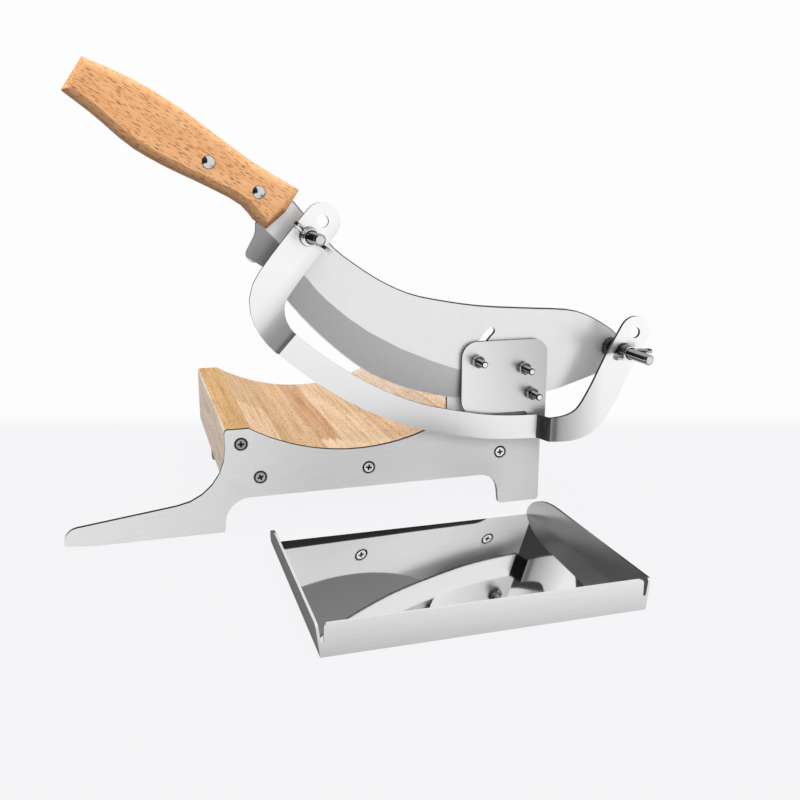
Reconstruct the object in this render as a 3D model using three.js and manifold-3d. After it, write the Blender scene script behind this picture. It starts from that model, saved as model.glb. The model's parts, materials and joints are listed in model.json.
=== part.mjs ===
// Hand-lever cutter for frozen meat rolls, with a thickness gauge and a catch tray.
// Millimetres, +Z up, -Y towards the user. Outlines lie in X and Z; sheets are thick along Y.
import * as THREE from 'three';
import { mergeVertices } from 'three/addons/utils/BufferGeometryUtils.js';
import Module from 'manifold-3d';

const wasm = await Module();
wasm.setup();

// Sheet thicknesses and the gaps between pieces.
const PLATE_T = 2.5;
const BLADE_T = 2.5;
const KEEPER_T = 2.5;
const STRIP_T = 2;
const TRAY_T = 1.2;
const SEAT_GAP = 0.3;
const BLADE_GAP = 0.4;
const BAND_GAP = 1.2;
const HOLE_GAP = 0.3;

// Base: front plate, wood block and rear bracket. The post is measured up from the pivot.
const BASE_LENGTH = 275;
const TOE_LENGTH = 86.6;
const TOE_TIP = 10.1;
const TOE_TIP_R = 8;
const TOE_LIFT = 1.5;
const TOE_LIFT_RUN = 16;
const TOE_CORNER_R = 1;
const TOE_ROOT = 21.2;
const TOE_SWEEP_R = 31;
const DECK_HEIGHT = 58.6;
const BLOCK_BOTTOM = 20.5;
const BLOCK_DEPTH = 175;
const BLOCK_EDGE = 1.2;
const CRADLE_R = 119.4;
const CRADLE_RUN = 74.1;
const CRADLE_FLOOR = 42;
const CRADLE_STEPS = 20;
const ARCH_HEIGHT = 19;
const ARCH_LEFT_R = 14;
const ARCH_RIGHT_R = 11;
const RIGHT_FOOT = 26.3;
const POST_WIDTH = 60;
const POST_HEIGHT = 13.6;
const POST_R = 9;
const SMALL_R = 2;
const BRACKET_Y = 140;
const BRACKET_INSET = 4;
const BRACKET_FLANGE = 26;
const BRACKET_FOOT = 24;

// Pivot bolt, measured from the base's right end and up from the deck; stop and clamp bolts, from the pivot.
const PIVOT_FROM_END = 15;
const PIVOT_HEIGHT = 25.8;
const STOP_R = 29.6;
const STOP_ANGLE = 169;
const LEVER_SWING = 34;
const SLOT_SPARE = 3.6;
const SLOT_REST = 1.5;
const CLAMP_DX = 5.2;
const CLAMP_DZ = -15.4;
const BOLT_R = 2;
const BOLT_END = 12.5;
const BOLT_HEAD_R = 3.6;
const BOLT_HEAD_H = 2.4;
const NUT_FLATS = 7;
const NUT_H = 3.2;
const HEX_SIDES = 6;
const HEX_CHAMFER = 0.7;
const BOLT_NOSE = [[0, 0], [0.6, 0.15], [1, 0.6]];
const HEAD_CROWN = 0.6;
const BUSH_WALL = 1.7;
const BUSH_GAP = 0.15;

// Keeper plate, measured up and down from the pivot.
const KEEPER_WIDTH = 53.2;
const KEEPER_TOP = 16.8;
const KEEPER_BOTTOM = 26.2;
const KEEPER_R = 9;
const KEEPER_TAB = 12;
const KEEPER_TAB_DROP = 6;

// Countersunk screws in the front plate: two run from the toe's root, one from the cradle's middle and one
// from the right end; the second number is the height.
const TOE_SCREWS = [[8.8, 50.1], [18.8, 30.2]];
const MIDDLE_SCREW = [7.1, 30.2];
const END_SCREW = [-25.9, 32.4];
const SCREW_R = 2;
const SCREW_HEAD_R = 3.65;
const SCREW_HEAD_H = 1.65;
const SCREW_LENGTH = 14;
const SCREW_POINT = 3;
const SCREW_SUNK = 0.1;
const CROSS_LENGTH = 4.8;
const CROSS_WIDTH = 1;
const CROSS_DEPTH = 1;
const BRACKET_SCREW_HEAD_H = 2;
const BRACKET_SCREW_LENGTH = 10;
const BRACKET_SCREW_RUNS = [0.3, 0.7];
const PAN_CROWN = 0.7;

// Blade outlines, measured from the pivot. The edge starts outside the heel, so that the grinding runs
// over the whole heel tab.
const SPINE = [
  [-132.1, 95.8], [-113.2, 73.6], [-101, 63.5], [-85.3, 53.2], [-69.1, 45.7], [-52.6, 41.5],
  [-27.6, 37.2], [2.2, 34.7], [27.7, 32.8], [41.5, 29], [55.7, 21.3], [62.6, 15.4], [66.4, 8.4],
];
const UNDERSIDE = [
  [66.4, 8.4], [64.6, 1.4], [58, -3.6], [49.8, -6.8], [29.8, -12.9], [19, -15.6], [-2, -17.9],
];
const EDGE = [
  [-166, 74.5], [-158.6, 68], [-151.7, 63.7], [-149.2, 61.9], [-137.5, 44.6], [-124.9, 29.8],
  [-109.5, 15], [-93.6, 2.6], [-77.3, -5.8], [-60.6, -11.8], [-43.4, -15.9], [-25, -17.9], [-2, -17.9],
];
const BEVEL = [
  [-152.4, 86.4], [-147.9, 82.1], [-140.3, 74.1], [-127.3, 56.8], [-116.8, 44.7], [-101.4, 31.4],
  [-85.4, 20.8], [-69, 12.4], [-52.3, 5.4], [-37.8, 0.2], [-20, -7], [-2, -16.7],
];
const HEEL = [
  [-149.5, 62.3], [-151.7, 63.7], [-153, 64.7], [-153.3, 64.4], [-161.4, 64.4, 4.6], [-152.4, 80.3, 10],
  [-152.6, 85],
];
const EDGE_T = 0.35;
const GRIND_OVER = 1.4;
const BEVEL_STEPS = 26;
const SPINE_STEPS = 30;
const UNDERSIDE_STEPS = 14;
const TANG_LENGTH = 86;
const TANG_WIDTH = 12;
const TANG_ROOT = 7;

// Handle, measured from the pivot.
const HANDLE_FRONT = [-137.7, 92.6];
const HANDLE_SLOPE = 32.5;
const HANDLE_T = 20;
const HANDLE_EDGE = 4.2;
const HANDLE_TOP = [
  [-232, 163.6], [-218.9, 158.2], [-203, 150.5], [-186.6, 140.1], [-169.9, 127.6], [-152.5, 115.1],
  [-130.2, 101.8],
];
const HANDLE_NOSE = [[-137.6, 90.8], [-147.8, 82.3]];
const HANDLE_UNDER = [
  [-153.2, 86.8], [-160.8, 95.4], [-180.1, 105.6], [-197, 113.8], [-213.3, 123.7], [-228.8, 137.7],
  [-242.3, 148.4],
];
const HANDLE_STEPS = 14;
const SAW_CUT = 9;
const RIVETS = [[-151.5, 100.8], [-175.9, 115.5]];
const RIVET_R = 2.5;
const RIVET_HEAD_R = 3.35;
const RIVET_HEAD_H = 1.3;
const RIVET_DOME = [[1, 0], [0.93, 0.55], [0.6, 0.88], [0, 1]];

// Long gauge bolts and their nuts.
const HEEL_BOLT = [-127.8, 78.7];
const TIP_BOLT = [57.9, 8.9];
const LONG_R = 3;
const LONG_HEAD_FLATS = 10;
const LONG_HEAD_H = 4;
const LONG_END = 28;
const LONG_CHAMFER = 0.9;
const LOCK_NUT_R = 6;
const LOCK_NUT_H = 5.5;
const BACK_NUT_FLATS = 10;
const BACK_NUT_H = 5;
const WING_HUB_R = 5.2;
const WING_HUB_TOP_R = 4.2;
const WING_HUB_H = 7.5;
const WING_SPAN = 24;
const WING_HEIGHT = 12.5;
const WING_T = 2.2;
const WING_R = 2;
const WING_ROOT = [[0.62, 0.21], [1, 0.6]];
const WING_CREST = [[1, 1], [0.6, 0.95]];
const WING_TURNS = [-41, 8];

// Gauge bar: centreline of the strip from the heel ear to the tip ear, measured from the pivot.
const STRIP = [
  [-120.6, 86.3], [-135.4, 69], [-144, 58.2], [-148.8, 51], [-150.4, 43.8], [-149.3, 36.5],
  [-146.1, 29.8], [-140, 22.7], [-119.5, 5.5], [-97.2, -9], [-76.8, -19], [-59.4, -25.2],
  [-31.9, -31.6], [-13.7, -34.1], [9, -35.2], [25.4, -34.8], [36.4, -29.7], [45, -17], [54.5, 2.2],
  [64.4, 19.8],
];
const EAR_WIDTH = 19.2;
const BAND_WIDTH = 14.2;
const ARM_TAPER = 34;
const JOGGLE = 10;
const JOGGLE_RUN = 4;
const HEEL_JOGGLE = 76.5;
const TIP_JOGGLE = 84.5;
const STRIP_PITCH = 5;
const ROUND_STEPS = 6;

// Catch tray.
const TRAY_WIDTH = 152;
const TRAY_DEPTH = 129.3;
const TRAY_HEIGHT = 15.2;
const TRAY_FLARE = 7;
const TRAY_RIGHT = 15.3;
const TRAY_GAP = 21.2;
const TRAY_REAR_RUN = 34;
const TRAY_FRONT_R = 2;
const TRAY_NOTCH = 7;
const TRAY_SLIT = 0.5;
const TRAY_FLOOR_INSET = 4;
const TRAY_STEPS = 8;

// Facets round a turned piece, segments in half a hole, and the turn per facet of a rounded corner.
const FACETS = 16;
const HALF_FACETS = 8;
const ARC_STEP = 15;

// Places that follow from the sizes above.
const PIVOT_X = BASE_LENGTH - PIVOT_FROM_END;
const PIVOT_Z = DECK_HEIGHT + PIVOT_HEIGHT;
const CRADLE_X = TOE_LENGTH + CRADLE_RUN;
const FRONT_SCREWS = [
  ...TOE_SCREWS.map(([run, z]) => [TOE_LENGTH + run, z]),
  [CRADLE_X + MIDDLE_SCREW[0], MIDDLE_SCREW[1]],
  [BASE_LENGTH + END_SCREW[0], END_SCREW[1]],
];
const BLADE_REAR = -BLADE_GAP;
const BLADE_FRONT = BLADE_REAR - BLADE_T;
const BLADE_MID = (BLADE_REAR + BLADE_FRONT) / 2;
const KEEPER_REAR = BLADE_FRONT - BLADE_GAP;
const KEEPER_FRONT = KEEPER_REAR - KEEPER_T;
const BAND_REAR = KEEPER_FRONT - BAND_GAP;
const EAR_REAR = BAND_REAR - JOGGLE;
const EAR_FRONT = EAR_REAR - STRIP_T;
const LONG_TIP = EAR_FRONT - LONG_END;
const POST_LEFT = BASE_LENGTH - POST_WIDTH;
const BLOCK_FRONT = PLATE_T + SEAT_GAP;
const CRADLE_Z = CRADLE_FLOOR + CRADLE_R;
const CRADLE_HALF = Math.sqrt(CRADLE_R ** 2 - (CRADLE_Z - DECK_HEIGHT) ** 2);
const rad = THREE.MathUtils.degToRad;

const STOP = [STOP_R * Math.cos(rad(STOP_ANGLE)), STOP_R * Math.sin(rad(STOP_ANGLE))];
const CLAMP = [CLAMP_DX, CLAMP_DZ];

const vec = ([x, z]) => new THREE.Vector2(x, z);
const spline = (points) => new THREE.SplineCurve(points.map(vec));
const pair = (v) => [v.x, v.y];

function material(color, roughness, metalness) {
  return new THREE.MeshStandardMaterial({ color, roughness, metalness });
}

// Closed solid for cutting and joining, with flat slivers at poles left out.
function solid(geometry) {
  const bare = geometry.clone();
  bare.deleteAttribute('normal');
  bare.deleteAttribute('uv');
  const welded = mergeVertices(bare, 1e-4);
  const index = welded.index.array;
  const kept = [];
  for (let i = 0; i < index.length; i += 3) {
    const [a, b, c] = [index[i], index[i + 1], index[i + 2]];
    if (a !== b && b !== c && c !== a) {
      kept.push(a, b, c);
    }
  }
  const vertProperties = new Float32Array(welded.attributes.position.array);
  return new wasm.Manifold(new wasm.Mesh({ numProp: 3, vertProperties, triVerts: new Uint32Array(kept) }));
}

function skin(body) {
  const shell = body.getMesh();
  const geometry = new THREE.BufferGeometry();
  geometry.setAttribute('position', new THREE.BufferAttribute(new Float32Array(shell.vertProperties), 3));
  geometry.setIndex(new THREE.BufferAttribute(new Uint32Array(shell.triVerts), 1));
  geometry.computeVertexNormals();
  return geometry;
}

function carve(geometry, cutters) {
  let body = solid(geometry);
  for (const cutter of cutters) {
    body = body.subtract(solid(cutter));
  }
  return skin(body);
}

function join(geometries) {
  let body = solid(geometries[0]);
  for (const extra of geometries.slice(1)) {
    body = body.add(solid(extra));
  }
  return skin(body);
}

function drill(shape, [x, z], radius) {
  const hole = new THREE.Path();
  hole.absarc(x, z, radius, 0, 2 * Math.PI, true);
  shape.holes.push(hole);
}

// Sheet standing in X and Z, reaching forward from its rear face.
function sheet(shape, rearY, thickness) {
  const options = { depth: thickness, bevelEnabled: false, curveSegments: HALF_FACETS };
  const flat = new THREE.ExtrudeGeometry(shape, options);
  return flat.rotateX(Math.PI / 2).translate(0, rearY, 0);
}

// Outline through corners [x, z, radius], with an arc in each corner that has a radius.
function outline(listed) {
  const corners = THREE.ShapeUtils.isClockWise(listed.map(vec)) ? listed.slice().reverse() : listed;
  const count = corners.length;
  const points = [];
  corners.forEach((corner, i) => {
    const here = vec(corner);
    const radius = corner[2] ?? 0;
    if (radius === 0) {
      points.push(here);
      return;
    }
    const back = vec(corners[(i + count - 1) % count]).sub(here).normalize();
    const ahead = vec(corners[(i + 1) % count]).sub(here).normalize();
    const half = Math.acos(THREE.MathUtils.clamp(back.dot(ahead), -1, 1)) / 2;
    const middle = back.clone().add(ahead).setLength(radius / Math.sin(half)).add(here);
    const start = back.multiplyScalar(radius / Math.tan(half)).add(here);
    const turn = Math.sign(ahead.cross(start.clone().sub(here))) * (Math.PI - 2 * half);
    const steps = Math.max(2, Math.round(Math.abs(turn) / rad(ARC_STEP)));
    for (let j = 0; j <= steps; j += 1) {
      points.push(start.clone().rotateAround(middle, turn * j / steps));
    }
  });
  return new THREE.Shape(points);
}

// Round piece turned about the Y axis; the profile is [radius, y], from the low y to the high y.
function turned(profile) {
  return new THREE.LatheGeometry(profile.map(vec), FACETS);
}

function ring(outer, inner, rearY, length) {
  const shape = new THREE.Shape();
  shape.absarc(0, 0, outer, 0, 2 * Math.PI, false);
  drill(shape, [0, 0], inner);
  return sheet(shape, rearY, length);
}

function hexCorner(flats) {
  return flats / 2 / Math.cos(Math.PI / HEX_SIDES);
}

function hexagon(flats) {
  const corners = [];
  for (let i = 0; i < HEX_SIDES; i += 1) {
    const turn = (2 * i + 1) * Math.PI / HEX_SIDES;
    corners.push(new THREE.Vector2(Math.cos(turn), Math.sin(turn)).multiplyScalar(hexCorner(flats)));
  }
  return new THREE.Shape(corners);
}

// Hexagonal nut or head with its corners turned off, optionally bored.
function hexPiece(flats, height, bore, rearY) {
  const shape = hexagon(flats);
  if (bore > 0) {
    drill(shape, [0, 0], bore);
  }
  const corner = hexCorner(flats);
  const chamfer = (corner - flats / 2) * HEX_CHAMFER;
  const barrel = turned([
    [0, rearY - height], [flats / 2, rearY - height], [corner + SEAT_GAP, rearY - height + chamfer],
    [corner + SEAT_GAP, rearY - chamfer], [flats / 2, rearY], [0, rearY],
  ]);
  return skin(solid(sheet(shape, rearY, height)).intersect(solid(barrel)));
}

// Points along the cradle's arc between two X places.
function cradleArc(fromX, toX) {
  const points = [];
  for (let i = 0; i <= CRADLE_STEPS; i += 1) {
    const x = THREE.MathUtils.lerp(fromX, toX, i / CRADLE_STEPS);
    points.push([x, CRADLE_Z - Math.sqrt(CRADLE_R ** 2 - (x - CRADLE_X) ** 2)]);
  }
  return points;
}

const assembly = new THREE.Group();
assembly.name = 'frozen_meat_cutter';
const lever = new THREE.Group();
lever.name = 'lever_group';
lever.position.set(PIVOT_X, 0, PIVOT_Z);
assembly.add(lever);

function place(group, name, geometry, finish, [x, y, z] = [0, 0, 0]) {
  const piece = new THREE.Mesh(geometry, finish);
  piece.name = name;
  piece.position.set(x, y, z);
  group.add(piece);
}

// Front plate: toe, arch, cradle edge and post in one sheet.
const plateOutline = outline([
  [TOE_LIFT_RUN, 0], [0, TOE_LIFT, TOE_CORNER_R], [0, TOE_TIP, TOE_TIP_R],
  [TOE_LENGTH, TOE_ROOT, TOE_SWEEP_R],
  [TOE_LENGTH, DECK_HEIGHT, SMALL_R],
  ...cradleArc(CRADLE_X - CRADLE_HALF, POST_LEFT),
  [POST_LEFT, PIVOT_Z + POST_HEIGHT, POST_R], [BASE_LENGTH, PIVOT_Z + POST_HEIGHT, POST_R],
  [BASE_LENGTH, 0, SMALL_R],
  [BASE_LENGTH - RIGHT_FOOT, 0, SMALL_R], [BASE_LENGTH - RIGHT_FOOT - SMALL_R, ARCH_HEIGHT, ARCH_RIGHT_R],
  [TOE_LENGTH, ARCH_HEIGHT, ARCH_LEFT_R], [TOE_LENGTH - SMALL_R, 0],
]);
const pivotBolts = [[0, 0], STOP, CLAMP];
for (const [dx, dz] of pivotBolts) {
  drill(plateOutline, [PIVOT_X + dx, PIVOT_Z + dz], BOLT_R + HOLE_GAP);
}
const screwProfile = [
  [0, SCREW_SUNK], [SCREW_HEAD_R, SCREW_SUNK], [SCREW_R, SCREW_SUNK + SCREW_HEAD_H],
  [SCREW_R, SCREW_LENGTH - SCREW_POINT], [0, SCREW_LENGTH],
];
const sinkProfile = [
  [0, -SEAT_GAP], [SCREW_HEAD_R + HOLE_GAP, -SEAT_GAP], [SCREW_HEAD_R + HOLE_GAP, SCREW_SUNK],
  [SCREW_R + HOLE_GAP, SCREW_SUNK + SCREW_HEAD_H], [SCREW_R + HOLE_GAP, SCREW_LENGTH + HOLE_GAP],
  [0, SCREW_LENGTH + HOLE_GAP],
];
const sinks = FRONT_SCREWS.map(([x, z]) => turned(sinkProfile).translate(x, 0, z));
const steel = material(0xcdced0, 0.38, 0.9);
const plate = carve(sheet(plateOutline, PLATE_T, PLATE_T), sinks);
place(assembly, 'front_plate', plate, steel);

// Wood block, hollowed along its length, with screw holes in its front and bottom.
const blockOutline = outline([
  [TOE_LENGTH, BLOCK_BOTTOM, SMALL_R], [TOE_LENGTH, DECK_HEIGHT, SMALL_R],
  ...cradleArc(CRADLE_X - CRADLE_HALF, CRADLE_X + CRADLE_HALF),
  [BASE_LENGTH, DECK_HEIGHT, SMALL_R], [BASE_LENGTH, BLOCK_BOTTOM, SMALL_R],
]);
const blockGeometry = new THREE.ExtrudeGeometry(blockOutline, {
  depth: BLOCK_DEPTH - BLOCK_FRONT - 2 * BLOCK_EDGE,
  bevelEnabled: true,
  bevelThickness: BLOCK_EDGE,
  bevelSize: BLOCK_EDGE,
  bevelOffset: -BLOCK_EDGE,
  bevelSegments: 2,
}).rotateX(Math.PI / 2).translate(0, BLOCK_DEPTH - BLOCK_EDGE, 0);
const bracketScrews = [];
const bracketLeft = TOE_LENGTH + BRACKET_INSET;
const bracketRight = BASE_LENGTH - BRACKET_INSET;
for (const side of [bracketLeft + BRACKET_FOOT, bracketRight - BRACKET_FOOT]) {
  for (const run of BRACKET_SCREW_RUNS) {
    bracketScrews.push([side, BRACKET_Y - BRACKET_FLANGE * run]);
  }
}
const bracketTop = BLOCK_BOTTOM - SEAT_GAP;
const bracketUnder = bracketTop - PLATE_T;
const pilots = bracketScrews.map(([x, y]) => {
  const length = BRACKET_SCREW_LENGTH + HOLE_GAP;
  const hole = new THREE.CylinderGeometry(SCREW_R + HOLE_GAP, SCREW_R + HOLE_GAP, 2 * length, FACETS);
  return hole.rotateX(Math.PI / 2).translate(x, y, bracketUnder);
});
place(assembly, 'cradle_block', carve(blockGeometry, [...sinks, ...pilots]), material(0xd9b98c, 0.6, 0));

// Rear bracket: a flange under the block and a web with two feet.
const webUnder = bracketUnder - PLATE_T;
const webOutline = outline([
  [bracketLeft, 0, SMALL_R], [bracketLeft, bracketTop],
  [bracketRight, bracketTop], [bracketRight, 0, SMALL_R],
  [bracketRight - BRACKET_FOOT, 0, SMALL_R], [bracketRight - BRACKET_FOOT, webUnder, ARCH_RIGHT_R],
  [bracketLeft + BRACKET_FOOT, webUnder, ARCH_RIGHT_R], [bracketLeft + BRACKET_FOOT, 0, SMALL_R],
]);
const flange = new THREE.Shape();
flange.moveTo(bracketLeft, BRACKET_Y - BRACKET_FLANGE);
flange.lineTo(bracketRight, BRACKET_Y - BRACKET_FLANGE);
flange.lineTo(bracketRight, BRACKET_Y);
flange.lineTo(bracketLeft, BRACKET_Y);
flange.closePath();
for (const screw of bracketScrews) {
  drill(flange, screw, SCREW_R + HOLE_GAP);
}
const flangeSheet = new THREE.ExtrudeGeometry(flange, {
  depth: PLATE_T,
  bevelEnabled: false,
  curveSegments: HALF_FACETS,
}).translate(0, 0, bracketUnder);
place(assembly, 'rear_bracket', join([sheet(webOutline, BRACKET_Y, PLATE_T), flangeSheet]), steel);

// Screws: four countersunk ones with a cross recess, four panheads under the bracket.
const screwSteel = material(0xb9babd, 0.3, 1);
const crossCuts = [0, 1].map((turn) => {
  const bar = new THREE.BoxGeometry(CROSS_LENGTH, 2 * CROSS_DEPTH, CROSS_WIDTH);
  return bar.rotateY(turn * Math.PI / 2).translate(0, SCREW_SUNK, 0);
});
const countersunk = carve(turned(screwProfile), crossCuts);
FRONT_SCREWS.forEach(([x, z], i) => {
  place(assembly, `front_screw_${i + 1}`, countersunk, screwSteel, [x, 0, z]);
});
const panhead = turned([
  [0, -BRACKET_SCREW_HEAD_H], [SCREW_HEAD_R * PAN_CROWN, -BRACKET_SCREW_HEAD_H],
  [SCREW_HEAD_R, -BRACKET_SCREW_HEAD_H / 2], [SCREW_HEAD_R, 0], [SCREW_R, 0],
  [SCREW_R, BRACKET_SCREW_LENGTH - SCREW_POINT], [0, BRACKET_SCREW_LENGTH],
]).rotateX(Math.PI / 2);
bracketScrews.forEach(([x, y], i) => {
  place(assembly, `bracket_screw_${i + 1}`, panhead, screwSteel, [x, y, bracketUnder - SEAT_GAP]);
});

// Keeper plate and the three bolts that clamp it to the post.
const keeperLeft = BASE_LENGTH - KEEPER_WIDTH;
const keeperTop = PIVOT_Z + KEEPER_TOP;
const keeperFoot = PIVOT_Z - KEEPER_BOTTOM;
const keeperOutline = outline([
  [keeperLeft, keeperFoot, KEEPER_R], [keeperLeft, keeperTop, KEEPER_R],
  [BASE_LENGTH, keeperTop, KEEPER_R],
  [BASE_LENGTH, keeperFoot - KEEPER_TAB_DROP, SMALL_R],
  [BASE_LENGTH - KEEPER_TAB, keeperFoot - KEEPER_TAB_DROP, SMALL_R],
  [BASE_LENGTH - KEEPER_TAB, keeperFoot, SMALL_R],
]);
for (const [dx, dz] of pivotBolts) {
  drill(keeperOutline, [PIVOT_X + dx, PIVOT_Z + dz], BOLT_R + HOLE_GAP);
}
place(assembly, 'keeper_plate', sheet(keeperOutline, KEEPER_REAR, KEEPER_T), material(0xd2d3d5, 0.3, 0.95));

const boltSteel = material(0xc4c5c8, 0.18, 1);
const boltTip = KEEPER_FRONT - BOLT_END;
const boltHead = PLATE_T + SEAT_GAP;
const bolt = turned([
  ...BOLT_NOSE.map(([r, run]) => [BOLT_R * r, boltTip + BOLT_R * run]), [BOLT_R, boltHead],
  [BOLT_HEAD_R, boltHead], [BOLT_HEAD_R, boltHead + BOLT_HEAD_H * HEAD_CROWN],
  [BOLT_HEAD_R * HEAD_CROWN, boltHead + BOLT_HEAD_H], [0, boltHead + BOLT_HEAD_H],
]);
const smallNut = hexPiece(NUT_FLATS, NUT_H, BOLT_R + HOLE_GAP, KEEPER_FRONT - SEAT_GAP);
['pivot', 'stop', 'clamp'].forEach((role, i) => {
  const spot = [PIVOT_X + pivotBolts[i][0], 0, PIVOT_Z + pivotBolts[i][1]];
  place(assembly, `${role}_bolt`, bolt, boltSteel, spot);
  place(assembly, `${role}_nut`, smallNut, boltSteel, spot);
});
const bushOuter = BOLT_R + HOLE_GAP + BUSH_WALL;
const bushLength = BLADE_GAP * 2 + BLADE_T - 2 * SEAT_GAP;
const bush = ring(bushOuter, BOLT_R + HOLE_GAP, -SEAT_GAP, bushLength);
place(assembly, 'pivot_bush', bush, material(0xb08d4a, 0.35, 0.9), [PIVOT_X, 0, PIVOT_Z]);
place(assembly, 'clamp_spacer', bush, boltSteel, [PIVOT_X + CLAMP_DX, 0, PIVOT_Z + CLAMP_DZ]);

// Blade: one sheet with slot, relief and tang, ground down from the bevel line to a thin edge.
const edgeLine = spline(EDGE);
const bevelLine = spline(BEVEL);
const bevelPoints = [];
const edgePoints = [];
for (let i = 0; i <= BEVEL_STEPS; i += 1) {
  bevelPoints.push(bevelLine.getPointAt(i / BEVEL_STEPS));
  edgePoints.push(edgeLine.getPointAt(i / BEVEL_STEPS));
}
const along = new THREE.Vector2(-Math.cos(rad(HANDLE_SLOPE)), Math.sin(rad(HANDLE_SLOPE)));
const across = new THREE.Vector2(along.y, -along.x);
function onHandle(run, side) {
  return pair(vec(HANDLE_FRONT).addScaledVector(along, run).addScaledVector(across, side));
}
const tangHalf = TANG_WIDTH / 2;
const body = outline([
  ...spline(SPINE).getPoints(SPINE_STEPS).map(pair),
  ...spline(UNDERSIDE).getPoints(UNDERSIDE_STEPS).slice(1).map(pair),
  ...edgePoints.filter(({ x }) => x > HEEL[0][0]).reverse().slice(1).map(pair), ...HEEL,
  onHandle(TANG_ROOT, -tangHalf), onHandle(TANG_LENGTH, -tangHalf), onHandle(TANG_LENGTH, tangHalf),
  onHandle(TANG_ROOT, tangHalf),
]);
drill(body, [0, 0], bushOuter + BUSH_GAP);
drill(body, HEEL_BOLT, LONG_R + HOLE_GAP);
drill(body, TIP_BOLT, LONG_R + HOLE_GAP);
for (const rivet of RIVETS) {
  drill(body, rivet, RIVET_R + HOLE_GAP);
}
const slotHalf = BOLT_R + HOLE_GAP;
const slotTop = rad(STOP_ANGLE - LEVER_SWING - SLOT_SPARE);
const slotFoot = rad(STOP_ANGLE + SLOT_REST);
const slot = new THREE.Path();
const footSpot = [STOP_R * Math.cos(slotFoot), STOP_R * Math.sin(slotFoot)];
const topSpot = [STOP_R * Math.cos(slotTop), STOP_R * Math.sin(slotTop)];
slot.absarc(0, 0, STOP_R + slotHalf, slotTop, slotFoot, false);
slot.absarc(...footSpot, slotHalf, slotFoot, slotFoot + Math.PI, false);
slot.absarc(0, 0, STOP_R - slotHalf, slotFoot, slotTop, true);
slot.absarc(...topSpot, slotHalf, slotTop + Math.PI, slotTop, false);
body.holes.push(slot);
const clampReach = Math.hypot(...CLAMP);
const clampAngle = Math.atan2(CLAMP_DZ, CLAMP_DX);
const clampSpread = Math.asin((bushOuter + 2 * HOLE_GAP) / clampReach) + rad(SLOT_REST);
const reliefFrom = clampAngle - rad(LEVER_SWING) - clampSpread;
const reliefTo = clampAngle + clampSpread;
const relief = new THREE.Shape();
relief.absarc(0, 0, clampReach - bushOuter - HOLE_GAP, reliefFrom, reliefTo, false);
relief.absarc(0, 0, clampReach * 2, reliefTo, reliefFrom, true);
relief.closePath();
const grindTop = BLADE_T + SEAT_GAP;
const grindProfile = new THREE.Shape([
  new THREE.Vector2(0, BLADE_T), new THREE.Vector2(1, EDGE_T), new THREE.Vector2(GRIND_OVER, EDGE_T),
  new THREE.Vector2(GRIND_OVER, grindTop), new THREE.Vector2(0, grindTop),
]);
const grindOptions = { depth: 1, steps: BEVEL_STEPS, bevelEnabled: false };
const grind = new THREE.ExtrudeGeometry(grindProfile, grindOptions);
const grindPosition = grind.attributes.position;
for (let i = 0; i < grindPosition.count; i += 1) {
  const step = Math.round((1 - grindPosition.getZ(i)) * BEVEL_STEPS);
  const spot = bevelPoints[step].clone().lerp(edgePoints[step], grindPosition.getX(i));
  grindPosition.setXYZ(i, spot.x, BLADE_REAR - grindPosition.getY(i), spot.y);
}
const reliefCut = sheet(relief, BLADE_REAR + SEAT_GAP, BLADE_T + 2 * SEAT_GAP);
const bladeSheet = sheet(body, BLADE_REAR, BLADE_T);
place(lever, 'blade', carve(bladeSheet, [grind, reliefCut]), material(0xdcdde0, 0.24, 0.95));

// Handle: one piece of wood, saw-cut at the nose and pocketed for the tang.
const handleOutline = outline([
  ...spline(HANDLE_TOP).getPoints(HANDLE_STEPS).map(pair), ...HANDLE_NOSE,
  ...spline(HANDLE_UNDER).getPoints(HANDLE_STEPS).map(pair),
]);
const handleBlank = new THREE.ExtrudeGeometry(handleOutline, {
  depth: HANDLE_T - 2 * HANDLE_EDGE,
  bevelEnabled: true,
  bevelThickness: HANDLE_EDGE,
  bevelSize: HANDLE_EDGE,
  bevelOffset: -HANDLE_EDGE,
  bevelSegments: 4,
}).rotateX(Math.PI / 2).translate(0, BLADE_MID + HANDLE_T / 2 - HANDLE_EDGE, 0);
const pocketReach = TANG_LENGTH + HOLE_GAP;
const pocketHalf = tangHalf + HOLE_GAP;
const sawReach = HANDLE_T * 2;
const pocket = outline([
  onHandle(-sawReach, -sawReach), onHandle(SAW_CUT, -sawReach), onHandle(SAW_CUT, -pocketHalf),
  onHandle(pocketReach, -pocketHalf), onHandle(pocketReach, pocketHalf), onHandle(SAW_CUT, pocketHalf),
  onHandle(SAW_CUT, sawReach), onHandle(-sawReach, sawReach),
]);
const handleCuts = [sheet(pocket, BLADE_REAR + HOLE_GAP, BLADE_T + 2 * HOLE_GAP)];
for (const [x, z] of RIVETS) {
  const hole = new THREE.CylinderGeometry(RIVET_R + HOLE_GAP, RIVET_R + HOLE_GAP, 2 * HANDLE_T, FACETS);
  handleCuts.push(hole.translate(x, BLADE_MID, z));
}
place(lever, 'handle', carve(handleBlank, handleCuts), material(0xc98b52, 0.5, 0));

const rivetFace = HANDLE_T / 2 + SEAT_GAP;
const rivetSide = [
  [RIVET_R, rivetFace],
  ...RIVET_DOME.map(([r, rise]) => [RIVET_HEAD_R * r, rivetFace + RIVET_HEAD_H * rise]),
];
const rivetProfile = [...rivetSide.map(([r, y]) => [r, -y]).reverse(), ...rivetSide];
const rivetPiece = turned(rivetProfile).translate(0, BLADE_MID, 0);
RIVETS.forEach(([x, z], i) => {
  place(lever, `handle_rivet_${i + 1}`, rivetPiece, boltSteel, [x, 0, z]);
});

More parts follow.
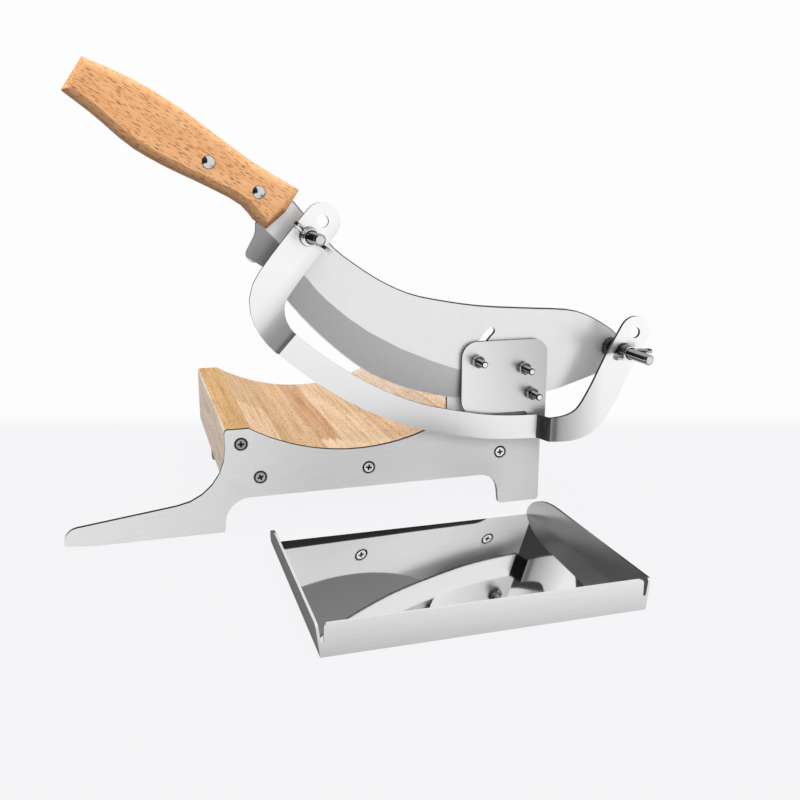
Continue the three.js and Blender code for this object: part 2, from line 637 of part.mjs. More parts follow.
// Long bolts through the blade, with a lock nut on the blade and a back nut and a wing nut at each ear.
const longHead = BLADE_REAR + SEAT_GAP;
const longRoot = longHead + LONG_HEAD_H / 2;
const longShank = turned([
  [0, LONG_TIP], [LONG_R - LONG_CHAMFER, LONG_TIP], [LONG_R, LONG_TIP + LONG_CHAMFER], [LONG_R, longRoot],
  [0, longRoot],
]);
const longBolt = join([hexPiece(LONG_HEAD_FLATS, LONG_HEAD_H, 0, longHead + LONG_HEAD_H), longShank]);
const lockNut = ring(LOCK_NUT_R, LONG_R + HOLE_GAP, BLADE_FRONT - SEAT_GAP, LOCK_NUT_H);
const backNut = hexPiece(BACK_NUT_FLATS, BACK_NUT_H, LONG_R + HOLE_GAP, EAR_REAR + SEAT_GAP + BACK_NUT_H);
const hub = new THREE.CylinderGeometry(WING_HUB_TOP_R, WING_HUB_R, WING_HUB_H, FACETS)
  .rotateX(Math.PI).translate(0, -WING_HUB_H / 2, 0);
const wingSpan = WING_SPAN / 2;
const wings = [1, -1].map((side) => {
  const rounded = ([run, rise]) => [side * wingSpan * run, WING_HEIGHT * rise, WING_R];
  const shape = outline([
    [side, 1], ...WING_ROOT.map(rounded), ...WING_CREST.map(rounded),
    [side * WING_HUB_TOP_R, WING_HUB_H - WING_T / 2], [side, WING_HUB_H - WING_T],
  ]);
  const flat = new THREE.ExtrudeGeometry(shape, { depth: WING_T, bevelEnabled: false });
  return flat.translate(0, 0, -WING_T / 2).rotateZ(Math.PI).rotateY(Math.PI);
});
const wingBore = new THREE.CylinderGeometry(LONG_R + HOLE_GAP, LONG_R + HOLE_GAP, 4 * WING_HUB_H, FACETS);
const wingBlank = carve(join([hub, ...wings]), [wingBore]);
const wingSeat = EAR_FRONT - SEAT_GAP;
[['heel', HEEL_BOLT], ['tip', TIP_BOLT]].forEach(([role, [x, z]], i) => {
  const spot = [x, 0, z];
  place(lever, `${role}_bolt`, longBolt, boltSteel, spot);
  place(lever, `${role}_lock_nut`, lockNut, material(0x4a4a4c, 0.45, 0.9), spot);
  place(lever, `${role}_back_nut`, backNut, boltSteel, spot);
  const wing = wingBlank.clone().rotateY(-rad(WING_TURNS[i]));
  place(lever, `${role}_wing_nut`, wing, boltSteel, [x, wingSeat, z]);
});

// Gauge bar: a straight joggled strip, laid out along its length, then bent onto the centreline.
const centre = spline(STRIP);
const runLength = centre.getLength();
const earHalf = EAR_WIDTH / 2;
const stations = [];
for (let i = 0; i <= ROUND_STEPS; i += 1) {
  stations.push(-earHalf * Math.cos(i / ROUND_STEPS * Math.PI / 2));
}
const strides = Math.round(runLength / STRIP_PITCH);
for (let i = 1; i < strides; i += 1) {
  stations.push(runLength * i / strides);
}
for (const bend of [HEEL_JOGGLE, runLength - TIP_JOGGLE]) {
  for (let i = -2; i <= 2; i += 1) {
    stations.push(bend + JOGGLE_RUN * i / 4);
  }
}
for (let i = 0; i <= ROUND_STEPS; i += 1) {
  stations.push(runLength + earHalf * Math.sin(i / ROUND_STEPS * Math.PI / 2));
}
stations.sort((a, b) => a - b);
function joggleAt(run) {
  const heel = THREE.MathUtils.smoothstep(run, HEEL_JOGGLE - JOGGLE_RUN / 2, HEEL_JOGGLE + JOGGLE_RUN / 2);
  const tipBend = runLength - TIP_JOGGLE;
  const tip = THREE.MathUtils.smoothstep(run, tipBend - JOGGLE_RUN / 2, tipBend + JOGGLE_RUN / 2);
  return EAR_REAR + JOGGLE * (heel - tip);
}
function halfWidthAt(run) {
  const over = Math.max(0, -run, run - runLength);
  if (over > 0) {
    return Math.max(Math.sqrt(Math.max(earHalf ** 2 - over ** 2, 0)), STRIP_T / 8);
  }
  const fromHeel = THREE.MathUtils.smoothstep(run, HEEL_JOGGLE - ARM_TAPER, HEEL_JOGGLE);
  const tipBend = runLength - TIP_JOGGLE;
  const fromTip = 1 - THREE.MathUtils.smoothstep(run, tipBend, tipBend + ARM_TAPER);
  return THREE.MathUtils.lerp(EAR_WIDTH, BAND_WIDTH, Math.min(fromHeel, fromTip)) / 2;
}
function centreAt(run) {
  const held = THREE.MathUtils.clamp(run / runLength, 0, 1);
  const heading = centre.getTangentAt(held);
  const spot = centre.getPointAt(held).addScaledVector(heading, run - held * runLength);
  return { spot, normal: new THREE.Vector2(-heading.y, heading.x) };
}
const stripProfile = new THREE.Shape([
  new THREE.Vector2(-1, 0), new THREE.Vector2(1, 0), new THREE.Vector2(1, 1), new THREE.Vector2(-1, 1),
]);
const stripOptions = { depth: 1, steps: stations.length - 1, bevelEnabled: false };
const strip = new THREE.ExtrudeGeometry(stripProfile, stripOptions);
const stripPosition = strip.attributes.position;
for (let i = 0; i < stripPosition.count; i += 1) {
  const run = stations[Math.round((1 - stripPosition.getZ(i)) * (stations.length - 1))];
  const { spot, normal } = centreAt(run);
  spot.addScaledVector(normal, -stripPosition.getX(i) * halfWidthAt(run));
  stripPosition.setXYZ(i, spot.x, joggleAt(run) - stripPosition.getY(i) * STRIP_T, spot.y);
}
const earHoles = [HEEL_BOLT, TIP_BOLT, STRIP[0], STRIP[STRIP.length - 1]].map(([x, z]) => {
  const hole = new THREE.CylinderGeometry(LONG_R + HOLE_GAP, LONG_R + HOLE_GAP, 4 * STRIP_T, FACETS);
  return hole.translate(x, (EAR_REAR + EAR_FRONT) / 2, z);
});
place(lever, 'gauge_bar', carve(strip, earHoles), material(0xe6e7e9, 0.16, 1));

// Catch tray: a floor with a front wall and two side walls, open at the rear.
const trayLeft = (TOE_LENGTH + BASE_LENGTH - RIGHT_FOOT - TRAY_WIDTH) / 2 + TRAY_RIGHT;
const trayRear = -TRAY_GAP;
const trayFront = trayRear - TRAY_DEPTH;
const rearCurve = [];
for (let i = 0; i <= TRAY_STEPS; i += 1) {
  const turn = i / TRAY_STEPS * Math.PI / 2;
  rearCurve.push([trayRear - TRAY_REAR_RUN * (1 - Math.cos(turn)), TRAY_HEIGHT * Math.sin(turn)]);
}
const sideOutline = outline([[trayFront, 0], ...rearCurve, [trayFront, TRAY_HEIGHT, TRAY_FRONT_R]]);
const trayRight = trayLeft + TRAY_WIDTH;
const lean = Math.tan(rad(TRAY_FLARE));
const traySides = [[trayLeft, -lean], [trayRight - TRAY_T, lean]].map(([x, slope]) => {
  const wall = new THREE.ExtrudeGeometry(sideOutline, { depth: TRAY_T, bevelEnabled: false });
  const flare = new THREE.Matrix4().makeShear(0, 0, 0, 0, slope, 0);
  return wall.rotateX(Math.PI / 2).rotateZ(Math.PI / 2).applyMatrix4(flare).translate(x, 0, 0);
});
const slitLeft = trayLeft + TRAY_T + TRAY_SLIT;
const slitRight = trayRight - TRAY_T - TRAY_SLIT;
const cornerLean = TRAY_NOTCH * lean;
const frontOutline = outline([
  [trayLeft, 0], [trayRight, 0], [trayRight + cornerLean, TRAY_NOTCH], [slitRight, TRAY_NOTCH],
  [slitRight, TRAY_HEIGHT, TRAY_FRONT_R], [slitLeft, TRAY_HEIGHT, TRAY_FRONT_R], [slitLeft, TRAY_NOTCH],
  [trayLeft - cornerLean, TRAY_NOTCH],
]);
const floorDepth = TRAY_DEPTH - TRAY_FLOOR_INSET;
const trayFloor = new THREE.BoxGeometry(TRAY_WIDTH, floorDepth, TRAY_T)
  .translate(trayLeft + TRAY_WIDTH / 2, trayFront + floorDepth / 2, TRAY_T / 2);
const frontWall = sheet(frontOutline, trayFront + TRAY_T, TRAY_T);
place(assembly, 'catch_tray', join([trayFloor, frontWall, ...traySides]), material(0xcfd0d3, 0.12, 1));

// The origin is on the table, under the middle of the whole outfit.
const frame = new THREE.Group();
frame.name = 'cutter_frame';
frame.add(assembly);
const extent = new THREE.Box3().setFromObject(assembly);
const middle = extent.getCenter(new THREE.Vector3());
assembly.position.set(-middle.x, -middle.y, -extent.min.z);

export default frame;
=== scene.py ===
# %% [markdown]
# # A hand cutter for frozen meat, finished in Blender
# The measured solids of the cutter come in first and are never moved. Everything after that is finish:
# fresh pieces where a solid is too plain, and materials for steel, chrome and wood.

# %% Load the solids
import json
import math

import bpy
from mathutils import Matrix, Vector

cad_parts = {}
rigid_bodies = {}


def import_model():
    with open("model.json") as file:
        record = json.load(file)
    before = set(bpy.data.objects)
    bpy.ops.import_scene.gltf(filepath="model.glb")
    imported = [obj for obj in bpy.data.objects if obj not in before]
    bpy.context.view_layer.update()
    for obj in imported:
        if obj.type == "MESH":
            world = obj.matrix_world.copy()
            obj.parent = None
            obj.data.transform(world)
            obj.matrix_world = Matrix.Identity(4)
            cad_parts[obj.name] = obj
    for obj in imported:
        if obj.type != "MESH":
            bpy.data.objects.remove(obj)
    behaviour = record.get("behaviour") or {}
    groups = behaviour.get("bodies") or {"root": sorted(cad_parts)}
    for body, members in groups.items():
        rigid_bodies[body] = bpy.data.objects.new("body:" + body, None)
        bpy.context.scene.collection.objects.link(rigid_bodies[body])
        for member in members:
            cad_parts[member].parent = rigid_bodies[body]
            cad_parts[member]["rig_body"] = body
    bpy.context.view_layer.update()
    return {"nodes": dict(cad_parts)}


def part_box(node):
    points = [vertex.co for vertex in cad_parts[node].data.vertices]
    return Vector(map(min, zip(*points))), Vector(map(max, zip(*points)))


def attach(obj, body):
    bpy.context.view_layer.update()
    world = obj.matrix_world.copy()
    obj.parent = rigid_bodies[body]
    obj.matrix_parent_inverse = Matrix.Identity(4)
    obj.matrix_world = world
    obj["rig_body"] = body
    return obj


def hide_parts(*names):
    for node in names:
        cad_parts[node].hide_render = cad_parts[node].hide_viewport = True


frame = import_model()
nodes = frame["nodes"]

# %% [markdown]
# ## The camera
# The picture was taken from the left of the cutter and a little above it. Parallel edges of the plate and the
# tray close in quickly, so the lens is fairly wide and close. The place, the turn and the lens were measured
# from known corners, so they are given as numbers.

# %% Camera
CAMERA_PLACE = (-0.12728, -0.50108, 0.19354)
CAMERA_YAW = 0.2917
CAMERA_PITCH = 0.2397

bpy.ops.object.select_all(action="DESELECT")
bpy.ops.object.camera_add(location=CAMERA_PLACE, rotation=(math.pi / 2 - CAMERA_PITCH, 0, -CAMERA_YAW))
camera = bpy.context.object
camera.name = "studio_camera"
camera.data.lens = 41.366
camera.data.sensor_width = 36
camera.data.clip_start = 0.01
bpy.context.scene.camera = camera
bpy.context.scene.view_settings.view_transform = "Standard"
print("camera at", CAMERA_PLACE)

# %% [markdown]
# ## Building materials from nodes
# Every finish here is a small graph of nodes. These helpers add a node with its settings, join two sockets,
# do a sum, and start a material that already has its surface shader, so that each finish below reads as a
# short recipe.


# %% Node helpers
def add(tree, kind, settings=None, **inputs):
    item = tree.nodes.new(kind)
    for name, value in (settings or {}).items():
        setattr(item, name, value)
    for name, value in inputs.items():
        item.inputs[name.replace("_", " ")].default_value = value
    return item


def wire(tree, start, end):
    tree.links.new(start, end)


def calc(tree, operation, *values):
    item = add(tree, "ShaderNodeMath", {"operation": operation})
    for socket, value in zip(item.inputs, values):
        if isinstance(value, (int, float)):
            socket.default_value = value
        else:
            wire(tree, value, socket)
    return item.outputs["Value"]


def spread(tree, source, low, high, to_low=0.0, to_high=1.0, soft=False):
    item = add(tree, "ShaderNodeMapRange", {"interpolation_type": "SMOOTHSTEP" if soft else "LINEAR"},
               From_Min=low, From_Max=high, To_Min=to_low, To_Max=to_high)
    wire(tree, source, item.inputs["Value"])
    return item.outputs["Result"]


def ramp(tree, source, stops, kind="LINEAR"):
    item = add(tree, "ShaderNodeValToRGB")
    item.color_ramp.interpolation = kind
    marks = item.color_ramp.elements
    marks.remove(marks[1])
    marks[0].position = stops[0][0]
    for number, (spot, colour) in enumerate(stops):
        mark = marks[0] if number == 0 else marks.new(spot)
        mark.color = colour if len(colour) == 4 else (*colour, 1)
    wire(tree, source, item.inputs["Fac"])
    return item


def mixed(tree, blend, share, first, second):
    item = add(tree, "ShaderNodeMix", {"data_type": "RGBA", "blend_type": blend})
    for socket, value in zip((item.inputs[0], item.inputs[6], item.inputs[7]), (share, first, second)):
        if isinstance(value, (int, float, tuple)):
            socket.default_value = value
        else:
            wire(tree, value, socket)
    return item.outputs[2]


print("node helpers ready")

# %% [markdown]
# A material starts from the piece's own coordinates, in metres. A noise that is squeezed in two directions and
# stretched in the third turns into lines, which is the start of brushed metal and of wood grain alike.


# %% Material helpers
def new_material(name):
    material = bpy.data.materials.new(name)
    material.use_nodes = True
    tree = material.node_tree
    shader = tree.nodes["Principled BSDF"]
    place = add(tree, "ShaderNodeTexCoord").outputs["Object"]
    return material, tree, shader, place


def stretched(tree, place, scale, turn=(0, 0, 0), shift=(0, 0, 0)):
    mapping = add(tree, "ShaderNodeMapping", Scale=scale, Rotation=turn, Location=shift)
    wire(tree, place, mapping.inputs["Vector"])
    return mapping.outputs["Vector"]


def noise(tree, vector, detail=3.0, roughness=0.55):
    item = add(tree, "ShaderNodeTexNoise", Scale=1, Detail=detail, Roughness=roughness)
    wire(tree, vector, item.inputs["Vector"])
    return item.outputs["Fac"]


def bumped(tree, shader, height, strength, distance):
    relief = add(tree, "ShaderNodeBump", Strength=strength, Distance=distance)
    wire(tree, height, relief.inputs["Height"])
    wire(tree, relief.outputs["Normal"], shader.inputs["Normal"])


def axes(tree, place):
    split = add(tree, "ShaderNodeSeparateXYZ")
    wire(tree, place, split.inputs["Vector"])
    return split.outputs


def grey(value):
    return (value, value, value)


def srgb(red, green, blue):
    return tuple(((c / 255 + 0.055) / 1.055) ** 2.4 if c > 10 else c / 255 / 12.92 for c in (red, green, blue))


print("material helpers ready")

# %% [markdown]
# ## The studio
# The cutter stands on a pale table in front of white. The floor is one large plane: near the camera it is a
# very pale grey, and beyond a soft line behind the cutter it turns white. Its colour follows the camera's own
# heading, so the line runs level in the picture. The camera sees mostly the plain colour and a share of the real
# light, so a faint shadow stays under the cutter. Polished metal sees the open table in the same way, but below the
# block, where no light comes, it sees the table dark.

# %% Floor
TABLE_NEAR = srgb(250, 250, 252)
TABLE_FAR = srgb(253, 253, 253)
TABLE_LIT = grey(0.22)
TABLE_TURNS_WHITE = (0.69, 0.75)
TABLE_SPAN = 8
PLAIN_SHARE = 0.93
MIRRORED_SHARE = 0.12

bpy.ops.object.select_all(action="DESELECT")
bpy.ops.mesh.primitive_plane_add(size=TABLE_SPAN, location=(0, 0, -0.0002))
floor = bpy.context.object
floor.name = "pale_table"

paint, tree, shader, place = new_material("pale_table_top")
shader.inputs["Base Color"].default_value = (*TABLE_LIT, 1)
shader.inputs["Roughness"].default_value = 0.9
shader.inputs["Specular IOR Level"].default_value = 0.1
heading = add(tree, "ShaderNodeVectorMath", {"operation": "DOT_PRODUCT"})
heading.inputs[1].default_value = (math.sin(CAMERA_YAW), math.cos(CAMERA_YAW), 0)
from_camera = add(tree, "ShaderNodeVectorMath", {"operation": "SUBTRACT"})
from_camera.inputs[1].default_value = CAMERA_PLACE
wire(tree, place, from_camera.inputs[0])
wire(tree, from_camera.outputs["Vector"], heading.inputs[0])
reach = spread(tree, heading.outputs["Value"], *TABLE_TURNS_WHITE, soft=True)
away = add(tree, "ShaderNodeVectorMath", {"operation": "LENGTH"})
wire(tree, place, away.inputs[0])
beside = spread(tree, away.outputs["Value"], 0.2, 0.5, soft=True)
before = spread(tree, axes(tree, place)["Y"], 0.03, -0.012, soft=True)
open_table = spread(tree, calc(tree, "MAXIMUM", beside, before), 0, 1, MIRRORED_SHARE, 1)
paths = add(tree, "ShaderNodeLightPath")
seen = calc(tree, "MULTIPLY", paths.outputs["Is Camera Ray"], spread(tree, reach, 0, 1, PLAIN_SHARE, 1))
mirrored = calc(tree, "MULTIPLY", paths.outputs["Is Glossy Ray"], open_table)
glow = add(tree, "ShaderNodeEmission", Strength=1)
wire(tree, ramp(tree, reach, [(0, TABLE_NEAR), (1, TABLE_FAR)]).outputs["Color"], glow.inputs["Color"])
blend = add(tree, "ShaderNodeMixShader")
wire(tree, calc(tree, "MAXIMUM", seen, mirrored), blend.inputs["Fac"])
wire(tree, shader.outputs["BSDF"], blend.inputs[1])
wire(tree, glow.outputs["Emission"], blend.inputs[2])
wire(tree, blend.outputs["Shader"], tree.nodes["Material Output"].inputs["Surface"])
floor.data.materials.append(paint)
print("table", TABLE_SPAN, "m")

# %% [markdown]
# The air of the room gives an even light from everywhere, and it looks white to the camera and to polished
# metal. One wide lamp above, one in front and a weak one on the left give the wood its round shape. They are
# large, so their shadows are soft, and they are hidden from reflections, so no bright disk shows up in the
# polished sheets.

# %% Air and lamps
AIR_LIGHT = 0.66
air = bpy.data.worlds.new("studio_air")
bpy.context.scene.world = air
air.use_nodes = True
tree = air.node_tree
back = tree.nodes["Background"]
back.inputs["Color"].default_value = (*TABLE_FAR, 1)
paths = add(tree, "ShaderNodeLightPath")
clear = calc(tree, "MAXIMUM", calc(tree, "MAXIMUM", paths.outputs["Is Camera Ray"], paths.outputs["Is Glossy Ray"]),
             paths.outputs["Is Transmission Ray"])
wire(tree, spread(tree, clear, 0, 1, AIR_LIGHT, 1), back.inputs["Strength"])


def lamp(name, place, aim, size, power):
    bpy.ops.object.select_all(action="DESELECT")
    turn = (Vector(aim) - Vector(place)).to_track_quat("-Z", "Y").to_euler()
    bpy.ops.object.light_add(type="AREA", location=place, rotation=turn)
    item = bpy.context.object
    item.name = name
    item.data.shape = "DISK"
    item.data.size = size
    item.data.energy = power
    item.visible_glossy = False
    return item


lamp("overhead_lamp", (0.1, -0.1, 1.5), (0, 0, 0.1), 1.3, 14)
lamp("front_lamp", (0.2, -1.6, 1.1), (0, 0, 0.1), 1.1, 13)
lamp("left_lamp", (-1.3, -0.3, 0.6), (0, 0, 0.1), 0.8, 4)
print("air", AIR_LIGHT, "and three lamps")

# %% [markdown]
# Polished steel has no colour of its own: it shows the room. A photographer stands dark cards round it, so that
# edges and rims draw thin dark lines. One card stands behind the table: it is dark, darker still towards the
# right, and white only low on the far right. The other stands on the left. Only reflections can see them.


# %% Dark cards
DEEP_SHADE = 0.2


def card(name, width, height, place, turn):
    bpy.ops.object.select_all(action="DESELECT")
    bpy.ops.mesh.primitive_plane_add(size=1, location=place, rotation=(math.pi / 2, 0, turn))
    item = bpy.context.object
    item.name = name
    item.scale = (width, height, 1)
    bpy.ops.object.transform_apply(location=True, rotation=True, scale=True)
    for ray in ("camera", "diffuse", "shadow", "transmission", "volume_scatter"):
        setattr(item, "visible_" + ray, False)
    return item


def card_cloth(name, left_edge, top_edge, tones, deep_edge):
    material, tree, _, place = new_material(name)
    along = axes(tree, place)
    left = spread(tree, along["X"], *left_edge, soft=True)
    high = spread(tree, along["Z"], *top_edge, soft=True)
    dark = ramp(tree, along["Z"], [(0.02, grey(tones[0])), (0.35, grey(tones[1])), (1, grey(tones[2]))])
    deep = spread(tree, along["X"], *deep_edge, soft=True)
    darker = mixed(tree, "MULTIPLY", deep, dark.outputs["Color"], (*grey(DEEP_SHADE), 1))
    tone = mixed(tree, "MIX", calc(tree, "MAXIMUM", left, high), (1, 1, 1, 1), darker)
    glow = add(tree, "ShaderNodeEmission", Strength=1)
    wire(tree, tone, glow.inputs["Color"])
    wire(tree, glow.outputs["Emission"], tree.nodes["Material Output"].inputs["Surface"])
    return material


rear_card = card("rear_card", 3.6, 1.2, (0, 0.42, 0.6), 0)
rear_cloth = card_cloth("rear_card_cloth", (0.6, 0.45), (0.2, 0.3), (0.03, 0.25, 0.34), (0.24, 0.3))
rear_card.data.materials.append(rear_cloth)
left_card = card("left_card", 2.9, 1.6, (-0.6, -0.9, 0.8), math.pi / 2)
left_cloth = card_cloth("left_card_cloth", (0, -0.1), (0.2, 0.3), (0.02, 0.02, 0.06), (1, 2))
left_card.data.materials.append(left_cloth)
print("two dark cards")

# %% [markdown]
# ## Shared finishes
# Two effects come back in many of the finishes. Brushing is a field of fine lines, made from noise that is
# stretched along one direction. Handling is a soft cloud, where fingers and cloths have changed the shine.


# %% Shared node groups
def new_group(name, strength, result):
    group = bpy.data.node_groups.new(name, "ShaderNodeTree")
    group.interface.new_socket(name="Vector", in_out="INPUT", socket_type="NodeSocketVector")
    group.interface.new_socket(name=strength, in_out="INPUT", socket_type="NodeSocketFloat")
    group.interface.new_socket(name=result, in_out="OUTPUT", socket_type="NodeSocketFloat")
    return group, group.nodes.new("NodeGroupInput").outputs, group.nodes.new("NodeGroupOutput").inputs


brushing, taken, given = new_group("brushing", "Depth", "Lines")
lines = spread(brushing, noise(brushing, taken["Vector"], 4, 0.7), 0.3, 0.7, -0.5, 0.5)
wire(brushing, calc(brushing, "MULTIPLY", lines, taken["Depth"]), given["Lines"])

handling, taken, given = new_group("handling", "Amount", "Cloud")
cloud = spread(handling, noise(handling, stretched(handling, taken["Vector"], (28, 28, 28))), 0.3, 0.7, -0.5, 0.5)
wire(handling, calc(handling, "MULTIPLY", cloud, taken["Amount"]), given["Cloud"])


def placed(tree, group, vector, result, **inputs):
    item = add(tree, "ShaderNodeGroup", {"node_tree": group}, **inputs)
    wire(tree, vector, item.inputs["Vector"])
    return item.outputs[result]


print("groups:", [group.name for group in bpy.data.node_groups])

# %% [markdown]
# ## Steel
# The plate, the blade, the gauge strip and the tray are all stainless sheet, but each is finished differently:
# satin, brushed, bright and mirror. One recipe makes all of them from a tone, a roughness, the direction of the
# brushing and how deep it is. Lines change the tone and the roughness a little, and a faint bump breaks up the
# reflection. A painted slope makes a sheet brighter towards one end, and a painted lift brightens a soft band round
# its middle: both are painted light and shade, standing for the reflections that brighten or darken the sheet.
# Satin steel scatters light, so a part of its shine can be given up for plain colour with the metal share,
# and a matte finish gives up all of it.


# %% Steel recipe
BRUSHED_RELIEF = 0.0004


def steel(name, tone, roughness, grain, depth=0.1, cloud=0.05, tint=(1, 1, 1), bump=0.02,
          drift=(0, 0), middle=(0, 0), painted_lift=(0, 1), metal=1):
    material, tree, shader, place = new_material(name)
    lines = placed(tree, brushing, stretched(tree, place, grain), "Lines", Depth=depth)
    touch = placed(tree, handling, place, "Cloud", Amount=cloud)
    both = calc(tree, "ADD", lines, touch)
    along = axes(tree, place)
    # The slope and the lift are painted light and shade in the tone of the sheet.
    from_x = calc(tree, "SUBTRACT", along["X"], middle[0])
    slope_x = calc(tree, "MULTIPLY", from_x, drift[0])
    slope_z = calc(tree, "MULTIPLY", calc(tree, "SUBTRACT", along["Z"], middle[1]), drift[1])
    near = calc(tree, "ABSOLUTE", from_x)
    painted_band = spread(tree, near, 0, painted_lift[1], painted_lift[0], 0, soft=True)
    painted_shading = calc(tree, "ADD", calc(tree, "ADD", calc(tree, "ADD", slope_x, slope_z), painted_band), both)
    light = spread(tree, calc(tree, "ADD", painted_shading, tone), 0, 1)
    colour = mixed(tree, "MULTIPLY", 1, light, (*tint, 1))
    wire(tree, colour, shader.inputs["Base Color"])
    wire(tree, calc(tree, "ADD", both, roughness), shader.inputs["Roughness"])
    bumped(tree, shader, lines, bump, BRUSHED_RELIEF)
    shader.inputs["Metallic"].default_value = metal
    return material


def matte(material):
    shader = material.node_tree.nodes["Principled BSDF"]
    shader.inputs["Metallic"].default_value = 0
    shader.inputs["Specular IOR Level"].default_value = 0
    return material


# The slopes and lifts given below are painted light and shade: the plate is darker towards the right and lifted
# round its middle, the ground bevel is brighter towards the right, the bright strip is brighter towards the right
# and the top, and the keeper is darker towards the right.
satin_plate = steel("satin_plate", 0.69, 0.44, (60, 900, 900), 0.05, 0.02, drift=(-1.1, 1.6),
                    middle=(0.055, 0.045), painted_lift=(0.19, 0.09), metal=0.5)
brushed_blade = steel("brushed_blade", 0.86, 0.30, (1500, 900, 90), 0.035, 0.02, metal=0.65)
ground_bevel = steel("ground_bevel", 0.53, 0.40, (900, 900, 60), 0.03, 0.02, drift=(2.4, 0))
# The honed edge is a matte near-white: a painted highlight along the cutting edge.
painted_glint_edge = matte(steel("painted_glint_edge", 0.98, 0.3, (300, 900, 300), 0.04, 0.02))
bright_strip = steel("bright_strip", 0.98, 0.28, (700, 900, 60), 0.012, 0.008, drift=(0.5, 1.8),
                     middle=(0.03, 0.115))
satin_keeper = steel("satin_keeper", 0.76, 0.30, (60, 900, 900), 0.03, 0.02, drift=(-6, -1.2),
                     middle=(0.077, 0.08))
mirror_tray = steel("mirror_tray", 0.90, 0.035, (60, 900, 900), 0.02, 0.02, bump=0.003)
# The brushed outside of the tray is darker towards the bottom through its slope: painted shade where the walls meet
# the table.
tray_outside = steel("tray_outside", 0.69, 0.24, (60, 900, 900), 0.03, 0.02, drift=(0.6, 14),
                     middle=(0, 0.008))
# The dark matte tray side and the darker wall are painted shade, and the pale matte rim is a painted highlight.
painted_shade_tray_side = matte(steel("painted_shade_tray_side", 0.26, 0.4, (900, 60, 900), 0.03, 0.02))
painted_highlight_rim = matte(steel("painted_highlight_rim", 0.54, 0.3, (900, 60, 900), 0.03, 0.02))
painted_shade_wall = steel("painted_shade_wall", 0.45, 0.24, (900, 60, 900), 0.03, 0.02)
# The edge steel is nearly black: painted shade along the sideways faces of the sheets and the blade's spine.
painted_dark_edge = steel("painted_dark_edge", 0.08, 0.35, (900, 900, 900), 0.06, 0.03)
# The back steel is dark: painted shade for the unlit back of the gauge strip, which the blade reflects. Its slope
# and lift are painted light and shade as well.
painted_shade_back = steel("painted_shade_back", 0.24, 0.4, (700, 900, 60), 0.04, 0.03, drift=(-2.5, 0), middle=(0.18, 0),
                  painted_lift=(0.7, 0.055), metal=0.2)
print("sheet finishes ready")

# %% [markdown]
# Where the gauge strip is folded forward at both ends, its colour is painted darker: painted shade at the folds,
# with a lighter stripe just past the tip fold as painted highlight. For each fold there is a place, a direction that
# leads away from it along the arm, and a ramp of tones over the next four centimetres, with the distance in
# millimetres. The tones multiply the colour of the bright strip.

# %% Painted shade at the folds
FOLD_START = -0.004
FOLD_END = 0.04
HEEL_PAINTED_SHADE = [(-2.2, 1), (-2, 0.08), (0.8, 0.10), (2.4, 0.2), (4, 0.32), (8, 0.34), (11, 0.4), (13.5, 0.5),
              (15, 0.64), (17, 0.8), (20, 0.92), (24, 1)]
TIP_PAINTED_SHADE = [(-2.2, 1), (-2, 0.06), (1.6, 0.06), (2.4, 0.3), (4, 0.17), (5.6, 0.18), (7.6, 0.39), (10, 0.47),
             (16, 0.61), (22, 0.75), (28, 0.88), (34, 1)]
FOLDS = (
    ((-0.04735, 0.10742), (-0.735, 0.678), HEEL_PAINTED_SHADE),
    ((0.10326, 0.04917), (1, -0.023), TIP_PAINTED_SHADE),
)
tree = bright_strip.node_tree
shader = tree.nodes["Principled BSDF"]
along = axes(tree, add(tree, "ShaderNodeTexCoord").outputs["Object"])
colour = shader.inputs["Base Color"].links[0].from_socket
for (x, z), (lead_x, lead_z), tones in FOLDS:
    run_x = calc(tree, "MULTIPLY", calc(tree, "SUBTRACT", along["X"], x), lead_x)
    run_z = calc(tree, "MULTIPLY", calc(tree, "SUBTRACT", along["Z"], z), lead_z)
    run = spread(tree, calc(tree, "ADD", run_x, run_z), FOLD_START, FOLD_END)
    stops = [((mm / 1000 - FOLD_START) / (FOLD_END - FOLD_START), grey(tone)) for mm, tone in tones]
    colour = mixed(tree, "MULTIPLY", 1, colour, ramp(tree, run, stops).outputs["Color"])
wire(tree, colour, shader.inputs["Base Color"])
print("folds darkened:", len(FOLDS))

# %% [markdown]
# Sheet steel that lies loose is never quite flat. The floor of the tray leans by a few degrees and is a little
# twisted, which slides the mirrored cutter sideways. A height that grows along X and Y, and with their product,
# does both without touching the mesh.

# %% Leaning tray floor
FLOOR_LEAN = (-0.05, 0.06)
FLOOR_TWIST = 0.5
tree = mirror_tray.node_tree
shader = tree.nodes["Principled BSDF"]
along = axes(tree, add(tree, "ShaderNodeTexCoord").outputs["Object"])
height = calc(tree, "ADD", *[calc(tree, "MULTIPLY", along[axis], lean) for axis, lean in zip("XY", FLOOR_LEAN)])
twist = calc(tree, "MULTIPLY", calc(tree, "MULTIPLY", along["X"], along["Y"]), FLOOR_TWIST)
height = calc(tree, "ADD", height, twist)
slope = add(tree, "ShaderNodeBump", Strength=1, Distance=1)
wire(tree, height, slope.inputs["Height"])
wire(tree, shader.inputs["Normal"].links[0].from_socket, slope.inputs["Normal"])
wire(tree, slope.outputs["Normal"], shader.inputs["Normal"])
print("floor leans by", FLOOR_LEAN)

# %% [markdown]
# The fasteners are plated. Their finish is smoother and cloudier than the sheets', the threads get a darker
# tone, painted shade for the dark between the turns, and the lock nuts are blackened. The bush is the one piece
# of bronze. All of them share one brushing, so a short function adds it.


# %% Fastener finishes
TURNED_GRAIN = (900, 300, 900)


def fastener(name, tone, roughness, depth=0.06, cloud=0.04, **others):
    return steel(name, tone, roughness, TURNED_GRAIN, depth, cloud, **others)


